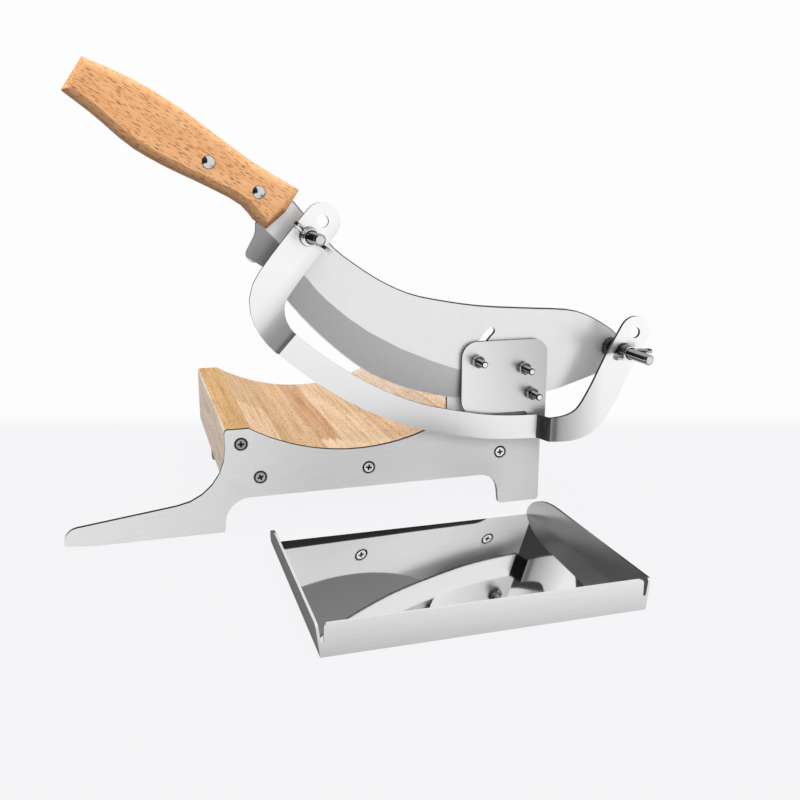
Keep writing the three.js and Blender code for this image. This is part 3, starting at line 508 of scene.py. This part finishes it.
# The bright finish below also serves as painted highlight on the wing nuts and on the keeper nuts' chamfers, and the
# dark plating as painted shade on top of the wing nuts.
chrome_and_painted_highlight = fastener("chrome_and_painted_highlight", 0.86, 0.09, 0.04, 0.03)
plated = fastener("plated", 0.50, 0.07)
dark_plating_and_painted_shade = fastener("dark_plating_and_painted_shade", 0.16, 0.14)
# The thread steel is darker: painted shade for the dark between the turns.
thread_painted_shade = fastener("thread_painted_shade", 0.34, 0.14)
# The screw steel gets a painted slope: screws further left are darker, painted shade.
screw_steel = fastener("screw_steel", 0.90, 0.24, drift=(7.5, 0), metal=0.4)
rivet_steel = fastener("rivet_steel", 0.66, 0.16, 0.04, 0.03)
cut_end = fastener("cut_end", 0.74, 0.30)
# This near-black is painted shade, laid into recesses, gaps and corners.
painted_shade_black = fastener("painted_shade_black", 0.03, 0.5, 0.03, 0.02)
blackened_nut = steel("blackened_nut", 0.06, 0.38, (1500, 200, 1500), 0.12, 0.05, bump=0.25)
bronze_bush = fastener("bronze_bush", 0.75, 0.35, 0.08, 0.05, tint=(0.95, 0.75, 0.42))
print("fastener finishes ready")

# %% [markdown]
# ## Beech
# The handle is one piece of beech. Beech shows short dark flecks, a millimetre or two long, that all run with
# the grain, over a warm orange ground with slow, wide bands. The pattern is laid along the handle, which slopes
# down towards the blade. The flecks come from two fields of cells that are stretched along the grain: only the
# heart of each cell turns dark, so each cell becomes one fleck. The underside, which no lamp reaches, gets a
# darker copy of the same wood: painted shade.

# %% Beech handle
HANDLE_SLOPE = math.radians(32.5)
FLECK_FIELDS = ((150, 1150, 1450), (180, 1350, 1700))
FLECK_HEART = 0.15
FLECK_RIM = 0.26
WOOD_RELIEF = 0.0003


def beech_wood(name, shade):
    material, tree, shader, place = new_material(name)
    along = stretched(tree, place, (1, 1, 1), turn=(0, -HANDLE_SLOPE, 0))
    bands = noise(tree, stretched(tree, along, (16, 150, 190)))
    ground = ramp(tree, bands, [
        (0.28, srgb(243, 180, 124)), (0.5, srgb(247, 187, 131)), (0.72, srgb(251, 196, 142)),
    ], "EASE").outputs["Color"]
    hairs = noise(tree, stretched(tree, along, (130, 1500, 1500)), 2, 0.5)
    hair_mask = ramp(tree, hairs, [(0.36, srgb(241, 232, 223)), (0.58, grey(1))]).outputs["Color"]
    hearts = []
    for field in FLECK_FIELDS:
        cells = add(tree, "ShaderNodeTexVoronoi", Scale=1, Randomness=1)
        wire(tree, stretched(tree, along, field), cells.inputs["Vector"])
        hearts.append(cells.outputs["Distance"])
    flecks = calc(tree, "MINIMUM", *hearts)
    fleck_mask = ramp(tree, flecks, [(FLECK_HEART, srgb(140, 86, 50)), (FLECK_RIM, grey(1))]).outputs["Color"]
    grain = mixed(tree, "MULTIPLY", 1, mixed(tree, "MULTIPLY", 1, ground, hair_mask), (*shade, 1))
    wire(tree, mixed(tree, "MULTIPLY", 1, grain, fleck_mask), shader.inputs["Base Color"])
    wire(tree, spread(tree, hairs, 0.3, 0.7, 0.6, 0.46), shader.inputs["Roughness"])
    relief = calc(tree, "ADD", hairs, spread(tree, flecks, FLECK_HEART, FLECK_RIM))
    bumped(tree, shader, relief, 0.12, WOOD_RELIEF)
    return material


beech = beech_wood("beech", grey(1.0))
# The darker copy is painted shade for the faces of the handle that look down.
beech_painted_shade = beech_wood("beech_painted_shade", grey(0.61))
print("beech ready")

# %% [markdown]
# ## Laminated block
# The cradle block is glued up from strips of pale wood that run from front to back. One ramp holds the tone of
# each strip from left to right, with sharp steps between them, and its alpha says how far from the front each
# strip is jointed. A second ramp has the tones in front of the joints. The joint is a row of glued fingers, so
# its line is a zigzag, and a thin dark glue line parts the strips. The outer side of the block gets a paler colour
# than its top: painted light that lifts the side the lamps reach less.

# %% Laminated wood
BLOCK_LEFT = -0.0804
BLOCK_RIGHT = 0.108
BLOCK_FRONT = -0.0095
BLOCK_REAR = 0.1628
# The paler outer side is painted light.
OUTER_SIDE_PAINTED_LIGHT = srgb(250, 236, 220)
STRIPS = [
    (-0.0801, (212, 174, 122), 0, (212, 174, 122)), (-0.066, (218, 186, 147), 0.45, (234, 203, 167)),
    (-0.0485, (216, 180, 138), 0.5, (212, 177, 134)), (-0.0395, (222, 186, 146), 0.3, (222, 188, 148)),
    (-0.0235, (209, 167, 128), 0.13, (235, 208, 175)), (-0.0105, (228, 199, 167), 0.6, (230, 200, 165)),
    (0.0035, (222, 191, 154), 0.45, (229, 200, 166)), (0.0155, (229, 200, 166), 0.75, (221, 188, 150)),
    (0.0325, (216, 199, 178), 0.5, (211, 186, 162)), (0.051, (239, 212, 178), 0.28, (231, 205, 175)),
    (0.071, (230, 198, 158), 0.66, (225, 189, 143)), (0.09, (237, 208, 172), 0.4, (206, 162, 118)),
]
GLUE_LINE = 0.0003
FINGER = 0.0021
FINGER_STEEP = 3.6
laminate, tree, shader, place = new_material("laminated_wood")
along = axes(tree, place)
across = spread(tree, along["X"], BLOCK_LEFT, BLOCK_RIGHT)


def share(x):
    return (x - BLOCK_LEFT) / (BLOCK_RIGHT - BLOCK_LEFT)


rear_stops = [(0, (*OUTER_SIDE_PAINTED_LIGHT, 1))] + [(share(x), (*srgb(*tone), joint)) for x, tone, joint, _ in STRIPS]
strips = ramp(tree, across, rear_stops, "CONSTANT")
front_stops = [(0, OUTER_SIDE_PAINTED_LIGHT)] + [(share(x), srgb(*tone)) for x, _, _, tone in STRIPS]
front_strips = ramp(tree, across, front_stops, "CONSTANT")
fingers = calc(tree, "MULTIPLY", calc(tree, "PINGPONG", along["X"], FINGER), FINGER_STEEP)
depth = spread(tree, calc(tree, "ADD", along["Y"], fingers), BLOCK_FRONT, BLOCK_REAR)
nearer = calc(tree, "LESS_THAN", depth, strips.outputs["Alpha"])
jointed = mixed(tree, "MIX", nearer, strips.outputs["Color"], front_strips.outputs["Color"])
glue_stops = [(0, grey(1))]
for x, _, _, _ in STRIPS[1:]:
    glue_stops += [(share(x - GLUE_LINE), grey(0.80)), (share(x + GLUE_LINE), grey(1))]
glued = mixed(tree, "MULTIPLY", 1, jointed, ramp(tree, across, glue_stops, "CONSTANT").outputs["Color"])
print("strips laid:", len(STRIPS))

# %% [markdown]
# Over the strips lie long soft streaks and short fine pores, which both run from front to back. They darken the
# colour where their noise is lowest, and both together give the bump. The underside is painted dark with streaks
# of its own: painted shade for the dark under the block.

# %% Grain of the block
streaks = noise(tree, stretched(tree, place, (420, 14, 420)), 4, 0.6)
streak_mask = ramp(tree, streaks, [(0.3, srgb(230, 210, 190)), (0.56, grey(1))]).outputs["Color"]
pores = noise(tree, stretched(tree, place, (1900, 240, 1900)), 2, 0.6)
pore_mask = ramp(tree, pores, [(0.32, srgb(196, 158, 120)), (0.44, grey(1))]).outputs["Color"]
streaked = mixed(tree, "MULTIPLY", 1, glued, streak_mask)
wire(tree, mixed(tree, "MULTIPLY", 1, streaked, pore_mask), shader.inputs["Base Color"])
wire(tree, spread(tree, streaks, 0.3, 0.7, 0.7, 0.56), shader.inputs["Roughness"])
relief = calc(tree, "ADD", streaks, spread(tree, pores, 0.32, 0.44))
bumped(tree, shader, relief, 0.12, WOOD_RELIEF)

# The dark underside is painted shade.
painted_shade_underside, tree, shader, place = new_material("painted_shade_underside")
shade_streaks = noise(tree, stretched(tree, place, (300, 12, 300)), 4, 0.6)
wire(tree, ramp(tree, shade_streaks, [(0.3, srgb(34, 26, 20)), (0.7, srgb(52, 41, 32))]).outputs["Color"],
     shader.inputs["Base Color"])
wire(tree, spread(tree, shade_streaks, 0.3, 0.7, 0.6, 0.5), shader.inputs["Roughness"])
print("block wood:", laminate.name, "and", painted_shade_underside.name)

# %% [markdown]
# ## Sheets with eased edges
# No real sheet has a perfectly sharp edge: after cutting it is deburred, and that narrow round catches light. A
# copy of each solid is merged, its flat triangles are joined into faces, and a small bevel goes round every
# corner that is sharp. Weighted normals keep the wide faces flat beside the narrow rounds. The copy then stands
# for the solid. Faces of a sheet that look sideways get a nearly black steel, painted shade along its edges, and
# the back of the gauge strip gets a dark steel, painted shade for its unlit back as the blade reflects it. The wood
# keeps its own corners: the block's underside is painted dark, painted shade under the block, and the faces of
# the handle that look down get a darker copy of the beech, painted shade.


# %% Eased copies
DARK_EDGE_LEAN = 0.6
BELOW_LEAN = 0.12


def merged_copy(node):
    bpy.ops.object.select_all(action="DESELECT")
    piece = bpy.data.objects.new("eased_" + node, nodes[node].data.copy())
    bpy.context.collection.objects.link(piece)
    piece.select_set(True)
    bpy.context.view_layer.objects.active = piece
    piece.data.materials.clear()
    bpy.ops.object.mode_set(mode="EDIT")
    bpy.ops.mesh.select_all(action="SELECT")
    bpy.ops.mesh.remove_doubles(threshold=2e-6)
    bpy.ops.mesh.dissolve_limited(angle_limit=math.radians(0.5))
    bpy.ops.object.mode_set(mode="OBJECT")
    return piece


def use_modifier(piece, kind, **settings):
    bpy.context.view_layer.objects.active = piece
    bpy.ops.object.modifier_add(type=kind)
    modifier = piece.modifiers[-1]
    for name, value in settings.items():
        setattr(modifier, name, value)
    bpy.ops.object.modifier_apply(modifier=modifier.name)


def smoothed(piece, angle):
    bpy.ops.object.select_all(action="DESELECT")
    piece.select_set(True)
    bpy.context.view_layer.objects.active = piece
    bpy.ops.object.shade_smooth_by_angle(angle=math.radians(angle))
    use_modifier(piece, "WEIGHTED_NORMAL", weight=100, keep_sharp=True)


def finish_with(piece, *finishes):
    for finish in finishes:
        piece.data.materials.append(finish)


def stands_for(piece, node, *finishes):
    finish_with(piece, *finishes)
    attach(piece, nodes[node]["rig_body"])
    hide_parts(node)


def eased(node, ease, *finishes, sharp=35, smooth=30, segments=2):
    piece = merged_copy(node)
    if ease:
        use_modifier(piece, "BEVEL", width=ease, segments=segments, limit_method="ANGLE",
                     angle_limit=math.radians(sharp))
    smoothed(piece, smooth)
    stands_for(piece, node, *finishes)
    return piece


def counted(piece):
    slots = [face.material_index for face in piece.data.polygons]
    return [slots.count(slot) for slot in range(len(piece.data.materials))]


for node, ease, finish in (
    ("front_plate", 0.0003, satin_plate), ("keeper_plate", 0.0003, satin_keeper),
    ("gauge_bar", 0.0002, bright_strip),
):
    sheet = eased(node, ease, finish, painted_dark_edge, painted_shade_back)
    # Sideways faces take the nearly black edge steel, painted shade; the back of the gauge strip takes the dark back
    # steel, painted shade too.
    for face in sheet.data.polygons:
        if abs(face.normal.y) < DARK_EDGE_LEAN:
            face.material_index = 1
        elif face.normal.y > 0 and node == "gauge_bar":
            face.material_index = 2
    print(sheet.name, counted(sheet), "faces by finish")
block = eased("cradle_block", 0, laminate, painted_shade_underside)
for face in block.data.polygons:
    face.material_index = int(face.normal.z < -0.9)
handle = eased("handle", 0, beech, beech_painted_shade)
below = Vector((-math.sin(HANDLE_SLOPE), 0, -math.cos(HANDLE_SLOPE)))
for face in handle.data.polygons:
    face.material_index = int(face.normal.dot(below) > BELOW_LEAN)
eased("rear_bracket", 0.0003, satin_plate)
print("wood and bracket finished")

# %% [markdown]
# ## The blade
# The blade is brushed on its flat side and ground grey along the edge and over the heel. The grinding is told
# from the flat by its direction: its faces lean away from the front by more than a degree or two. The cutting
# edge itself was honed, so its front corner gets a bevel of its own first, and that bevel gets a matte near-white
# finish: a thin pale line of painted highlight. The front corner of the spine gets a narrow bevel with the nearly
# black edge steel: a thin dark line of painted shade. The bevels find their edges by weight: first those at the
# depth of the cutting edge, then those between the spine and the flat.

# %% Blade
EDGE_FRONT = -0.0130
HONED_WIDTH = 0.0005
SPINE_WIDTH = 0.0006
CORNER_WIDTH = 0.0003
LONG_FACE = 8e-6
FLAT_FRONT = 0.9995
HEEL_END = -0.058
blade = merged_copy("blade")
finish_with(blade, brushed_blade, ground_bevel, painted_glint_edge, painted_dark_edge)
weights = blade.data.attributes.new("bevel_weight_edge", "FLOAT", "EDGE")
points = blade.data.vertices
for edge in blade.data.edges:
    on_edge = all(abs(points[i].co.y - EDGE_FRONT) < 4e-5 and points[i].co.x > HEEL_END for i in edge.vertices)
    weights.data[edge.index].value = float(on_edge)
use_modifier(blade, "BEVEL", width=HONED_WIDTH, segments=2, limit_method="WEIGHT", material=2,
             use_clamp_overlap=False)
tops = [face for face in blade.data.polygons if face.normal.z > 0.35 and face.area > LONG_FACE]
fronts = [face for face in blade.data.polygons if -face.normal.y > FLAT_FRONT]
spine = {tuple(sorted(pair)) for face in tops for pair in face.edge_keys}
flat = {tuple(sorted(pair)) for face in fronts for pair in face.edge_keys}
weights = blade.data.attributes["bevel_weight_edge"]
for edge in blade.data.edges:
    weights.data[edge.index].value = float(tuple(sorted(edge.vertices)) in spine & flat)
use_modifier(blade, "BEVEL", width=SPINE_WIDTH, segments=1, limit_method="WEIGHT", material=3,
             use_clamp_overlap=False)
use_modifier(blade, "BEVEL", width=CORNER_WIDTH, segments=1, limit_method="ANGLE", angle_limit=math.radians(50))
print("blade:", len(blade.data.polygons), "faces after the bevels")

# %% [markdown]
# Now each face of the blade gets its finish. The bevels have brought theirs along. Of the rest, a face that leans
# is ground, a face that looks sideways gets the nearly black edge steel as painted shade, and what looks straight
# forward or back keeps its brushing.

# %% Finish of the blade
GROUND_FACE = 2e-6
stands_for(blade, "blade")
for face in blade.data.polygons:
    leans = 0.5 < -face.normal.y < FLAT_FRONT
    if leans and face.material_index == 0 and face.area > GROUND_FACE:
        face.material_index = 1
    elif face.material_index == 0 and abs(face.normal.y) < 0.97:
        face.material_index = 3
smoothed(blade, 3)
print("blade:", counted(blade), "faces by finish")

# %% [markdown]
# ## The catch tray
# The tray is folded from mirror sheet: its inside shows the cutter upside down, and its outside was brushed. A
# face belongs to the outside where it looks out sideways or towards the front, at the outer surface of a wall.
# Faces that look left, above all the inner side of the right wall, get a darker steel, painted shade, and so does
# the rim on top of that wall. The outer faces that look sideways get a dark matte steel, painted shade too. The rims
# of the other walls get a pale matte finish, a painted highlight.

# %% Tray
tray = eased("catch_tray", 0.0002, mirror_tray, tray_outside, painted_shade_wall, painted_highlight_rim, painted_shade_tray_side)
SIDE_RIM = 0.006
SKIN = 0.0004
low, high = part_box("catch_tray")
for face in tray.data.polygons:
    outward = face.normal.y < -0.7 and face.center.y < low[1] + SKIN
    sideways = abs(face.normal.x) > 0.9 and min(face.center.x - low[0], high[0] - face.center.x) < 0.002
    facing_out = face.normal.x * (face.center.x - (low[0] + high[0]) / 2) > 0
    if outward:
        face.material_index = 1
    elif sideways and facing_out:
        face.material_index = 4
    elif face.normal.x < -0.9:
        face.material_index = 2
    elif face.center.z > high[2] - SKIN:
        at_right = face.center.x > high[0] - SIDE_RIM
        face.material_index = 2 if at_right else 3
print("tray:", counted(tray), "faces by finish")

# %% [markdown]
# ## Turned pieces
# Screws and rivets are made on a lathe. A circle is laid down at the rear end, and then it is pulled forward
# ring by ring, each time scaled to the next radius, as one would do by hand. Rings are given as a radius and a
# place along the axis, and every size comes from the box of the solid that the piece stands for.


# %% Lathe
def middle_of(node):
    low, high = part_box(node)
    return (low[0] + high[0]) / 2, (low[2] + high[2]) / 2, low[1], high[1]


def half_width(node):
    low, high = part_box(node)
    return (high[0] - low[0]) / 2


def off_axis(face, x, z):
    return math.hypot(face.center.x - x, face.center.z - z)


def turned(name, x, z, rings, sides=36):
    bpy.ops.object.select_all(action="DESELECT")
    radius, y = rings[0]
    bpy.ops.mesh.primitive_circle_add(vertices=sides, radius=radius, fill_type="NGON", location=(x, y, z),
                                      rotation=(math.pi / 2, 0, 0))
    piece = bpy.context.object
    piece.name = name
    bpy.ops.object.transform_apply(location=True, rotation=True, scale=True)
    bpy.ops.object.mode_set(mode="EDIT")
    bpy.ops.mesh.select_all(action="SELECT")
    for next_radius, next_y in rings[1:]:
        bpy.ops.mesh.extrude_region_move(TRANSFORM_OT_translate={"value": (0, next_y - y, 0)})
        share = next_radius / radius
        bpy.ops.transform.resize(value=(share, 1, share), center_override=(x, next_y, z))
        radius, y = next_radius, next_y
    bpy.ops.mesh.select_all(action="SELECT")
    bpy.ops.mesh.normals_make_consistent(inside=False)
    bpy.ops.object.mode_set(mode="OBJECT")
    return piece


def copied(piece, name, shift, turn=0.0, about=(0, 0)):
    bpy.ops.object.select_all(action="DESELECT")
    piece.select_set(True)
    bpy.context.view_layer.objects.active = piece
    bpy.ops.object.duplicate(linked=False)
    twin = bpy.context.object
    twin.name = name
    bpy.ops.object.mode_set(mode="EDIT")
    bpy.ops.mesh.select_all(action="SELECT")
    bpy.ops.transform.rotate(value=turn, orient_axis="Y", center_override=(about[0], 0, about[1]))
    bpy.ops.transform.translate(value=shift)
    bpy.ops.object.mode_set(mode="OBJECT")
    return twin


print("lathe ready")

# %% [markdown]
# The front plate is held by four countersunk screws. Each head is a shallow dome with a cross recess. The recess
# is cut by a bar that narrows inwards, once along and once across, and its walls are painted black: painted shade.

# %% Front screws
x, z, front, rear = middle_of("front_screw_1")
head = half_width("front_screw_1")
shank = 0.55 * head
master = turned("cross_screw", x, z, [
    (0.1 * head, rear), (shank, rear - 0.003), (shank, front + 0.0018), (0.985 * head, front + 0.00035),
    (head, front + 0.00022), (0.985 * head, front + 0.0001), (0.9 * head, front), (0.75 * head, front - 0.00003),
    (0.4 * head, front - 0.00008), (0.1 * head, front - 0.00009),
])
finish_with(master, screw_steel, painted_shade_black)
for turn in (0, math.pi / 2):
    bpy.ops.object.select_all(action="DESELECT")
    bpy.ops.mesh.primitive_cube_add(size=1, location=(x, front, z), scale=(1.3 * head, 0.0028, 0.36 * head))
    bar = bpy.context.object
    bpy.ops.object.transform_apply(location=True, rotation=True, scale=True)
    bpy.ops.object.mode_set(mode="EDIT")
    bpy.ops.mesh.select_mode(type="FACE")
    bpy.ops.mesh.select_all(action="DESELECT")
    bpy.ops.object.mode_set(mode="OBJECT")
    for face in bar.data.polygons:
        face.select = face.normal.y > 0.9
    bpy.ops.object.mode_set(mode="EDIT")
    bpy.ops.transform.resize(value=(0.45, 1, 0.55), center_override=(x, front, z))
    bpy.ops.mesh.select_all(action="SELECT")
    bpy.ops.transform.rotate(value=turn, orient_axis="Y", center_override=(x, front, z))
    bpy.ops.object.mode_set(mode="OBJECT")
    finish_with(bar, screw_steel, painted_shade_black)
    for face in bar.data.polygons:
        face.material_index = 1
    use_modifier(master, "BOOLEAN", operation="DIFFERENCE", object=bar, solver="EXACT")
    bpy.data.objects.remove(bar)
print("cross recess cut:", len(master.data.polygons), "faces")

# %% [markdown]
# The rim of the head is painted as black as the recess: painted shade for the gap round the head. The first screw
# is finished completely, and the screws in the plate are copies of it, each turned as far as the screwdriver left
# it.

# %% Copies of the screw
SCREW_TURNS = (0.0, 0.35, -0.2, 0.12)
for face in master.data.polygons:
    if off_axis(face, x, z) > 0.8 * head:
        face.material_index = 1
smoothed(master, 40)
for number, turn in enumerate(SCREW_TURNS, 1):
    node = "front_screw_%d" % number
    to_x, to_z, _, _ = middle_of(node)
    screw = copied(master, "cross_" + node, (to_x - x, 0, to_z - z), turn, (x, z))
    stands_for(screw, node)
bpy.data.objects.remove(master)
print("front screws:", len(SCREW_TURNS), "with", len(screw.data.polygons), "faces each")

# %% [markdown]
# The handle's rivets end in small polished domes on both sides of the wood. A dome is a run of rings cut from a
# ball, so that the light slides over it without a step. Its lowest ring is painted black: painted shade in the
# corner round the dome.

# %% Rivets
DOME = [(1.0, 0.0), (0.93, 0.18), (0.83, 0.37), (0.7, 0.56), (0.54, 0.75), (0.36, 0.9), (0.18, 0.97), (0.04, 1.0)]
DOME_RISE = 0.0016
x, z, front, rear = middle_of("handle_rivet_1")
head = half_width("handle_rivet_1")
shank = 0.74 * head
rear_dome = [(head * r, rear - DOME_RISE + DOME_RISE * up) for r, up in reversed(DOME)]
front_dome = [(head * r, front + DOME_RISE - DOME_RISE * up) for r, up in DOME]
shank_rings = [(shank, rear - DOME_RISE), (shank, front + DOME_RISE)]
master = turned("domed_rivet", x, z, rear_dome + shank_rings + front_dome, sides=40)
finish_with(master, rivet_steel, painted_shade_black)
for face in master.data.polygons:
    face.material_index = int(off_axis(face, x, z) > 0.95 * head)
smoothed(master, 50)
for number in (1, 2):
    node = "handle_rivet_%d" % number
    to_x, to_z, _, _ = middle_of(node)
    stands_for(copied(master, "domed_" + node, (to_x - x, 0, to_z - z)), node)
bpy.data.objects.remove(master)
print("rivets: 2")

# %% [markdown]
# ## Threads
# A thread is one V that is carried round the axis and forward at the same time. A square stood on its corner
# loses one corner and becomes the V, the Screw modifier winds it up, and two cuts across the axis close the rod.
# The front end is a blunt nose, turned as a piece of its own and joined to the rod, so the bolt finds its nut.

# %% Thread maker
THREAD_STEPS = 20


def threaded(name, x, z, radius, pitch, front, rear):
    depth = 0.58 * pitch
    turns = math.ceil((rear - front) / pitch) + 3
    bpy.ops.object.select_all(action="DESELECT")
    bpy.ops.mesh.primitive_plane_add(size=pitch / math.sqrt(2), rotation=(0, 0, math.pi / 4))
    rod = bpy.context.object
    rod.name = name
    bpy.ops.object.transform_apply(location=True, rotation=True, scale=True)
    bpy.ops.object.mode_set(mode="EDIT")
    bpy.ops.mesh.select_mode(type="VERT")
    bpy.ops.mesh.select_all(action="DESELECT")
    bpy.ops.object.mode_set(mode="OBJECT")
    inner = min(rod.data.vertices, key=lambda point: point.co.x)
    inner.select = True
    bpy.ops.object.mode_set(mode="EDIT")
    bpy.ops.mesh.delete(type="VERT")
    bpy.ops.mesh.select_all(action="SELECT")
    bpy.ops.transform.resize(value=(2 * depth / pitch, 1, 1), center_override=(0, 0, 0))
    bpy.ops.transform.translate(value=(radius - depth, front - 2 * pitch, 0))
    bpy.ops.object.mode_set(mode="OBJECT")
    use_modifier(rod, "SCREW", axis="Y", angle=2 * math.pi, screw_offset=pitch, iterations=turns, steps=THREAD_STEPS,
                 render_steps=THREAD_STEPS, use_merge_vertices=True, merge_threshold=1e-6)
    bpy.ops.object.mode_set(mode="EDIT")
    for place, way in ((front, {"clear_inner": True}), (rear, {"clear_outer": True})):
        bpy.ops.mesh.select_all(action="SELECT")
        bpy.ops.mesh.remove_doubles(threshold=1e-6)
        bpy.ops.mesh.select_all(action="SELECT")
        bpy.ops.mesh.bisect(plane_co=(0, place, 0), plane_no=(0, 1, 0), use_fill=True, **way)
    bpy.ops.mesh.select_all(action="SELECT")
    bpy.ops.mesh.normals_make_consistent(inside=False)
    bpy.ops.transform.translate(value=(x, 0, z))
    bpy.ops.object.mode_set(mode="OBJECT")
    return rod


def joined(first, second):
    bpy.ops.object.select_all(action="DESELECT")
    first.select_set(True)
    second.select_set(True)
    bpy.context.view_layer.objects.active = first
    bpy.ops.object.join()
    return first


def nosed(rod, x, z, radius, front, reach):
    root = front + reach
    cone = turned(rod.name + "_nose", x, z, [
        (0.5 * radius, root + 0.0008), (radius, root + 0.0005), (radius, root), (radius - reach, front),
    ])
    return joined(rod, cone)


print("thread maker ready")

# %% [markdown]
# Two long bolts carry the thickness gauge in front of the blade. Behind the blade each has a hexagon head, which
# starts as a six-sided cylinder whose edges are taken off. The thread is painted darker than the head and than the
# sawn flat at the end of the nose: painted shade.

# %% Long bolts
LONG_RADIUS = 0.00298
LONG_PITCH = 0.001
LONG_HEAD = 0.004
LONG_NOSE = 0.0009
x, z, front, rear = middle_of("heel_bolt")
low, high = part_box("heel_bolt")
rod = threaded("long_bolt", x, z, LONG_RADIUS, LONG_PITCH, front + LONG_NOSE, rear - LONG_HEAD / 2)
rod = nosed(rod, x, z, LONG_RADIUS, front, LONG_NOSE)
bpy.ops.object.select_all(action="DESELECT")
bpy.ops.mesh.primitive_cylinder_add(vertices=6, radius=(high[2] - low[2]) / 2, depth=LONG_HEAD,
                                    location=(x, rear - LONG_HEAD / 2, z), rotation=(math.pi / 2, 0, 0))
hexagon = bpy.context.object
bpy.ops.object.transform_apply(location=True, rotation=True, scale=True)
use_modifier(hexagon, "BEVEL", width=0.0004, segments=2, limit_method="ANGLE", angle_limit=math.radians(35))
rod = joined(rod, hexagon)
finish_with(rod, thread_painted_shade, chrome_and_painted_highlight, cut_end)
for face in rod.data.polygons:
    if face.center.y > rear - LONG_HEAD:
        face.material_index = 1
    elif face.center.y < front + LONG_NOSE:
        face.material_index = 2 if face.normal.y < -0.9 else 0
smoothed(rod, 35)
for node in ("heel_bolt", "tip_bolt"):
    to_x, to_z, _, _ = middle_of(node)
    stands_for(copied(rod, "threaded_" + node, (to_x - x, 0, to_z - z)), node)
print("long bolts:", len(rod.data.polygons), "faces each")
bpy.data.objects.remove(rod)

# %% [markdown]
# The pivot, stop and clamp bolts are smaller. They have round heads behind the front plate, which are turned like
# the rivets, and the same kind of thread in front. The slope of the nose is painted black, painted shade, and its
# end is bright.

# %% Small bolts
SMALL_RADIUS = 0.00198
SMALL_PITCH = 0.0007
SMALL_HEAD = 0.0024
SMALL_NOSE = 0.0006
x, z, front, rear = middle_of("pivot_bolt")
head = half_width("pivot_bolt")
rod = threaded("small_bolt", x, z, SMALL_RADIUS, SMALL_PITCH, front + SMALL_NOSE, rear - SMALL_HEAD)
rod = nosed(rod, x, z, SMALL_RADIUS, front, SMALL_NOSE)
dome = turned("round_head", x, z, [
    (head * r, rear - SMALL_HEAD + SMALL_HEAD * up) for r, up in reversed(DOME)
])
rod = joined(rod, dome)
finish_with(rod, thread_painted_shade, chrome_and_painted_highlight, painted_shade_black)
for face in rod.data.polygons:
    if face.center.y > rear - SMALL_HEAD:
        face.material_index = 1
    elif face.center.y < front + SMALL_NOSE:
        face.material_index = 1 if face.normal.y < -0.9 else 2
smoothed(rod, 35)
for node in ("pivot_bolt", "stop_bolt", "clamp_bolt"):
    to_x, to_z, _, _ = middle_of(node)
    stands_for(copied(rod, "threaded_" + node, (to_x - x, 0, to_z - z)), node)
print("small bolts:", len(rod.data.polygons), "faces each")
bpy.data.objects.remove(rod)

# %% [markdown]
# ## Wing nuts
# A wing nut is cast or forged, so nothing on it is sharp: the wings melt into the hub. A copy of the solid is
# rebuilt from small cubes by the Remesh modifier, and smoothing then rounds every corner at once. Its colour is
# painted with light and shade: bright on the collar and below, painted highlight; dark above, painted shade; and
# black in the hole and in the corner at the ear, painted shade.

# %% Wing nuts
VOXEL = 0.00028
LIP_RADIUS = 0.0036
COLLAR_RADIUS = 0.0048
BASE_RADIUS = 0.0056
BASE_DEPTH = 0.0022
for node in ("heel_wing_nut", "tip_wing_nut"):
    wing = merged_copy(node)
    use_modifier(wing, "REMESH", mode="VOXEL", voxel_size=VOXEL)
    use_modifier(wing, "SMOOTH", factor=0.5, iterations=9)
    smoothed(wing, 60)
    stands_for(wing, node, plated, chrome_and_painted_highlight, dark_plating_and_painted_shade, painted_shade_black)
    x, z, _, rear = middle_of(node)
    # Painted light by face direction: the hole and the corner at the ear are black, painted shade; the collar and
    # the underside are bright, painted highlight; the top is dark, painted shade.
    for face in wing.data.polygons:
        away = off_axis(face, x, z)
        if away < LIP_RADIUS or away < BASE_RADIUS and face.center.y > rear - BASE_DEPTH:
            face.material_index = 3
        elif away < COLLAR_RADIUS and face.normal.y < -0.5 or face.normal.z < -0.15:
            face.material_index = 1
        elif face.normal.z > 0.15:
            face.material_index = 2
    print(wing.name, counted(wing), "faces by finish")

# %% [markdown]
# ## Nuts, bush, spacer and the screws below
# What is left are small pieces whose solids already have the right shape. They only need eased corners and their
# own finish: plated nuts, blackened lock nuts with a broad round, a bronze bush and the bracket's screws. The three
# nuts on the keeper plate are dark, and only the chamfer on the side that shows gets the bright finish, a painted
# highlight.

# %% Small pieces
NUT_CHAMFER = 0.0004
CHAMFER_REACH = 0.0005
for node, ease, finish in (
    ("heel_back_nut", 0.0002, plated), ("tip_back_nut", 0.0002, plated),
    ("heel_lock_nut", 0.0006, blackened_nut), ("tip_lock_nut", 0.0006, blackened_nut),
    ("pivot_bush", 0.0001, bronze_bush), ("clamp_spacer", 0.0001, chrome_and_painted_highlight),
    *[("bracket_screw_%d" % number, 0.0002, screw_steel) for number in (1, 2, 3, 4)],
):
    eased(node, ease, finish)
for node in ("pivot_nut", "stop_nut", "clamp_nut"):
    nut = merged_copy(node)
    finish_with(nut, dark_plating_and_painted_shade, chrome_and_painted_highlight)
    use_modifier(nut, "BEVEL", width=NUT_CHAMFER, segments=1, limit_method="ANGLE", angle_limit=math.radians(35),
                 material=1, use_clamp_overlap=False)
    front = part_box(node)[0][1]
    # Only the chamfers at the front keep the bright finish: a painted highlight.
    for face in nut.data.polygons:
        face.material_index *= int(face.center.y < front + CHAMFER_REACH)
    smoothed(nut, 20)
    stands_for(nut, node)
print("small pieces finished")
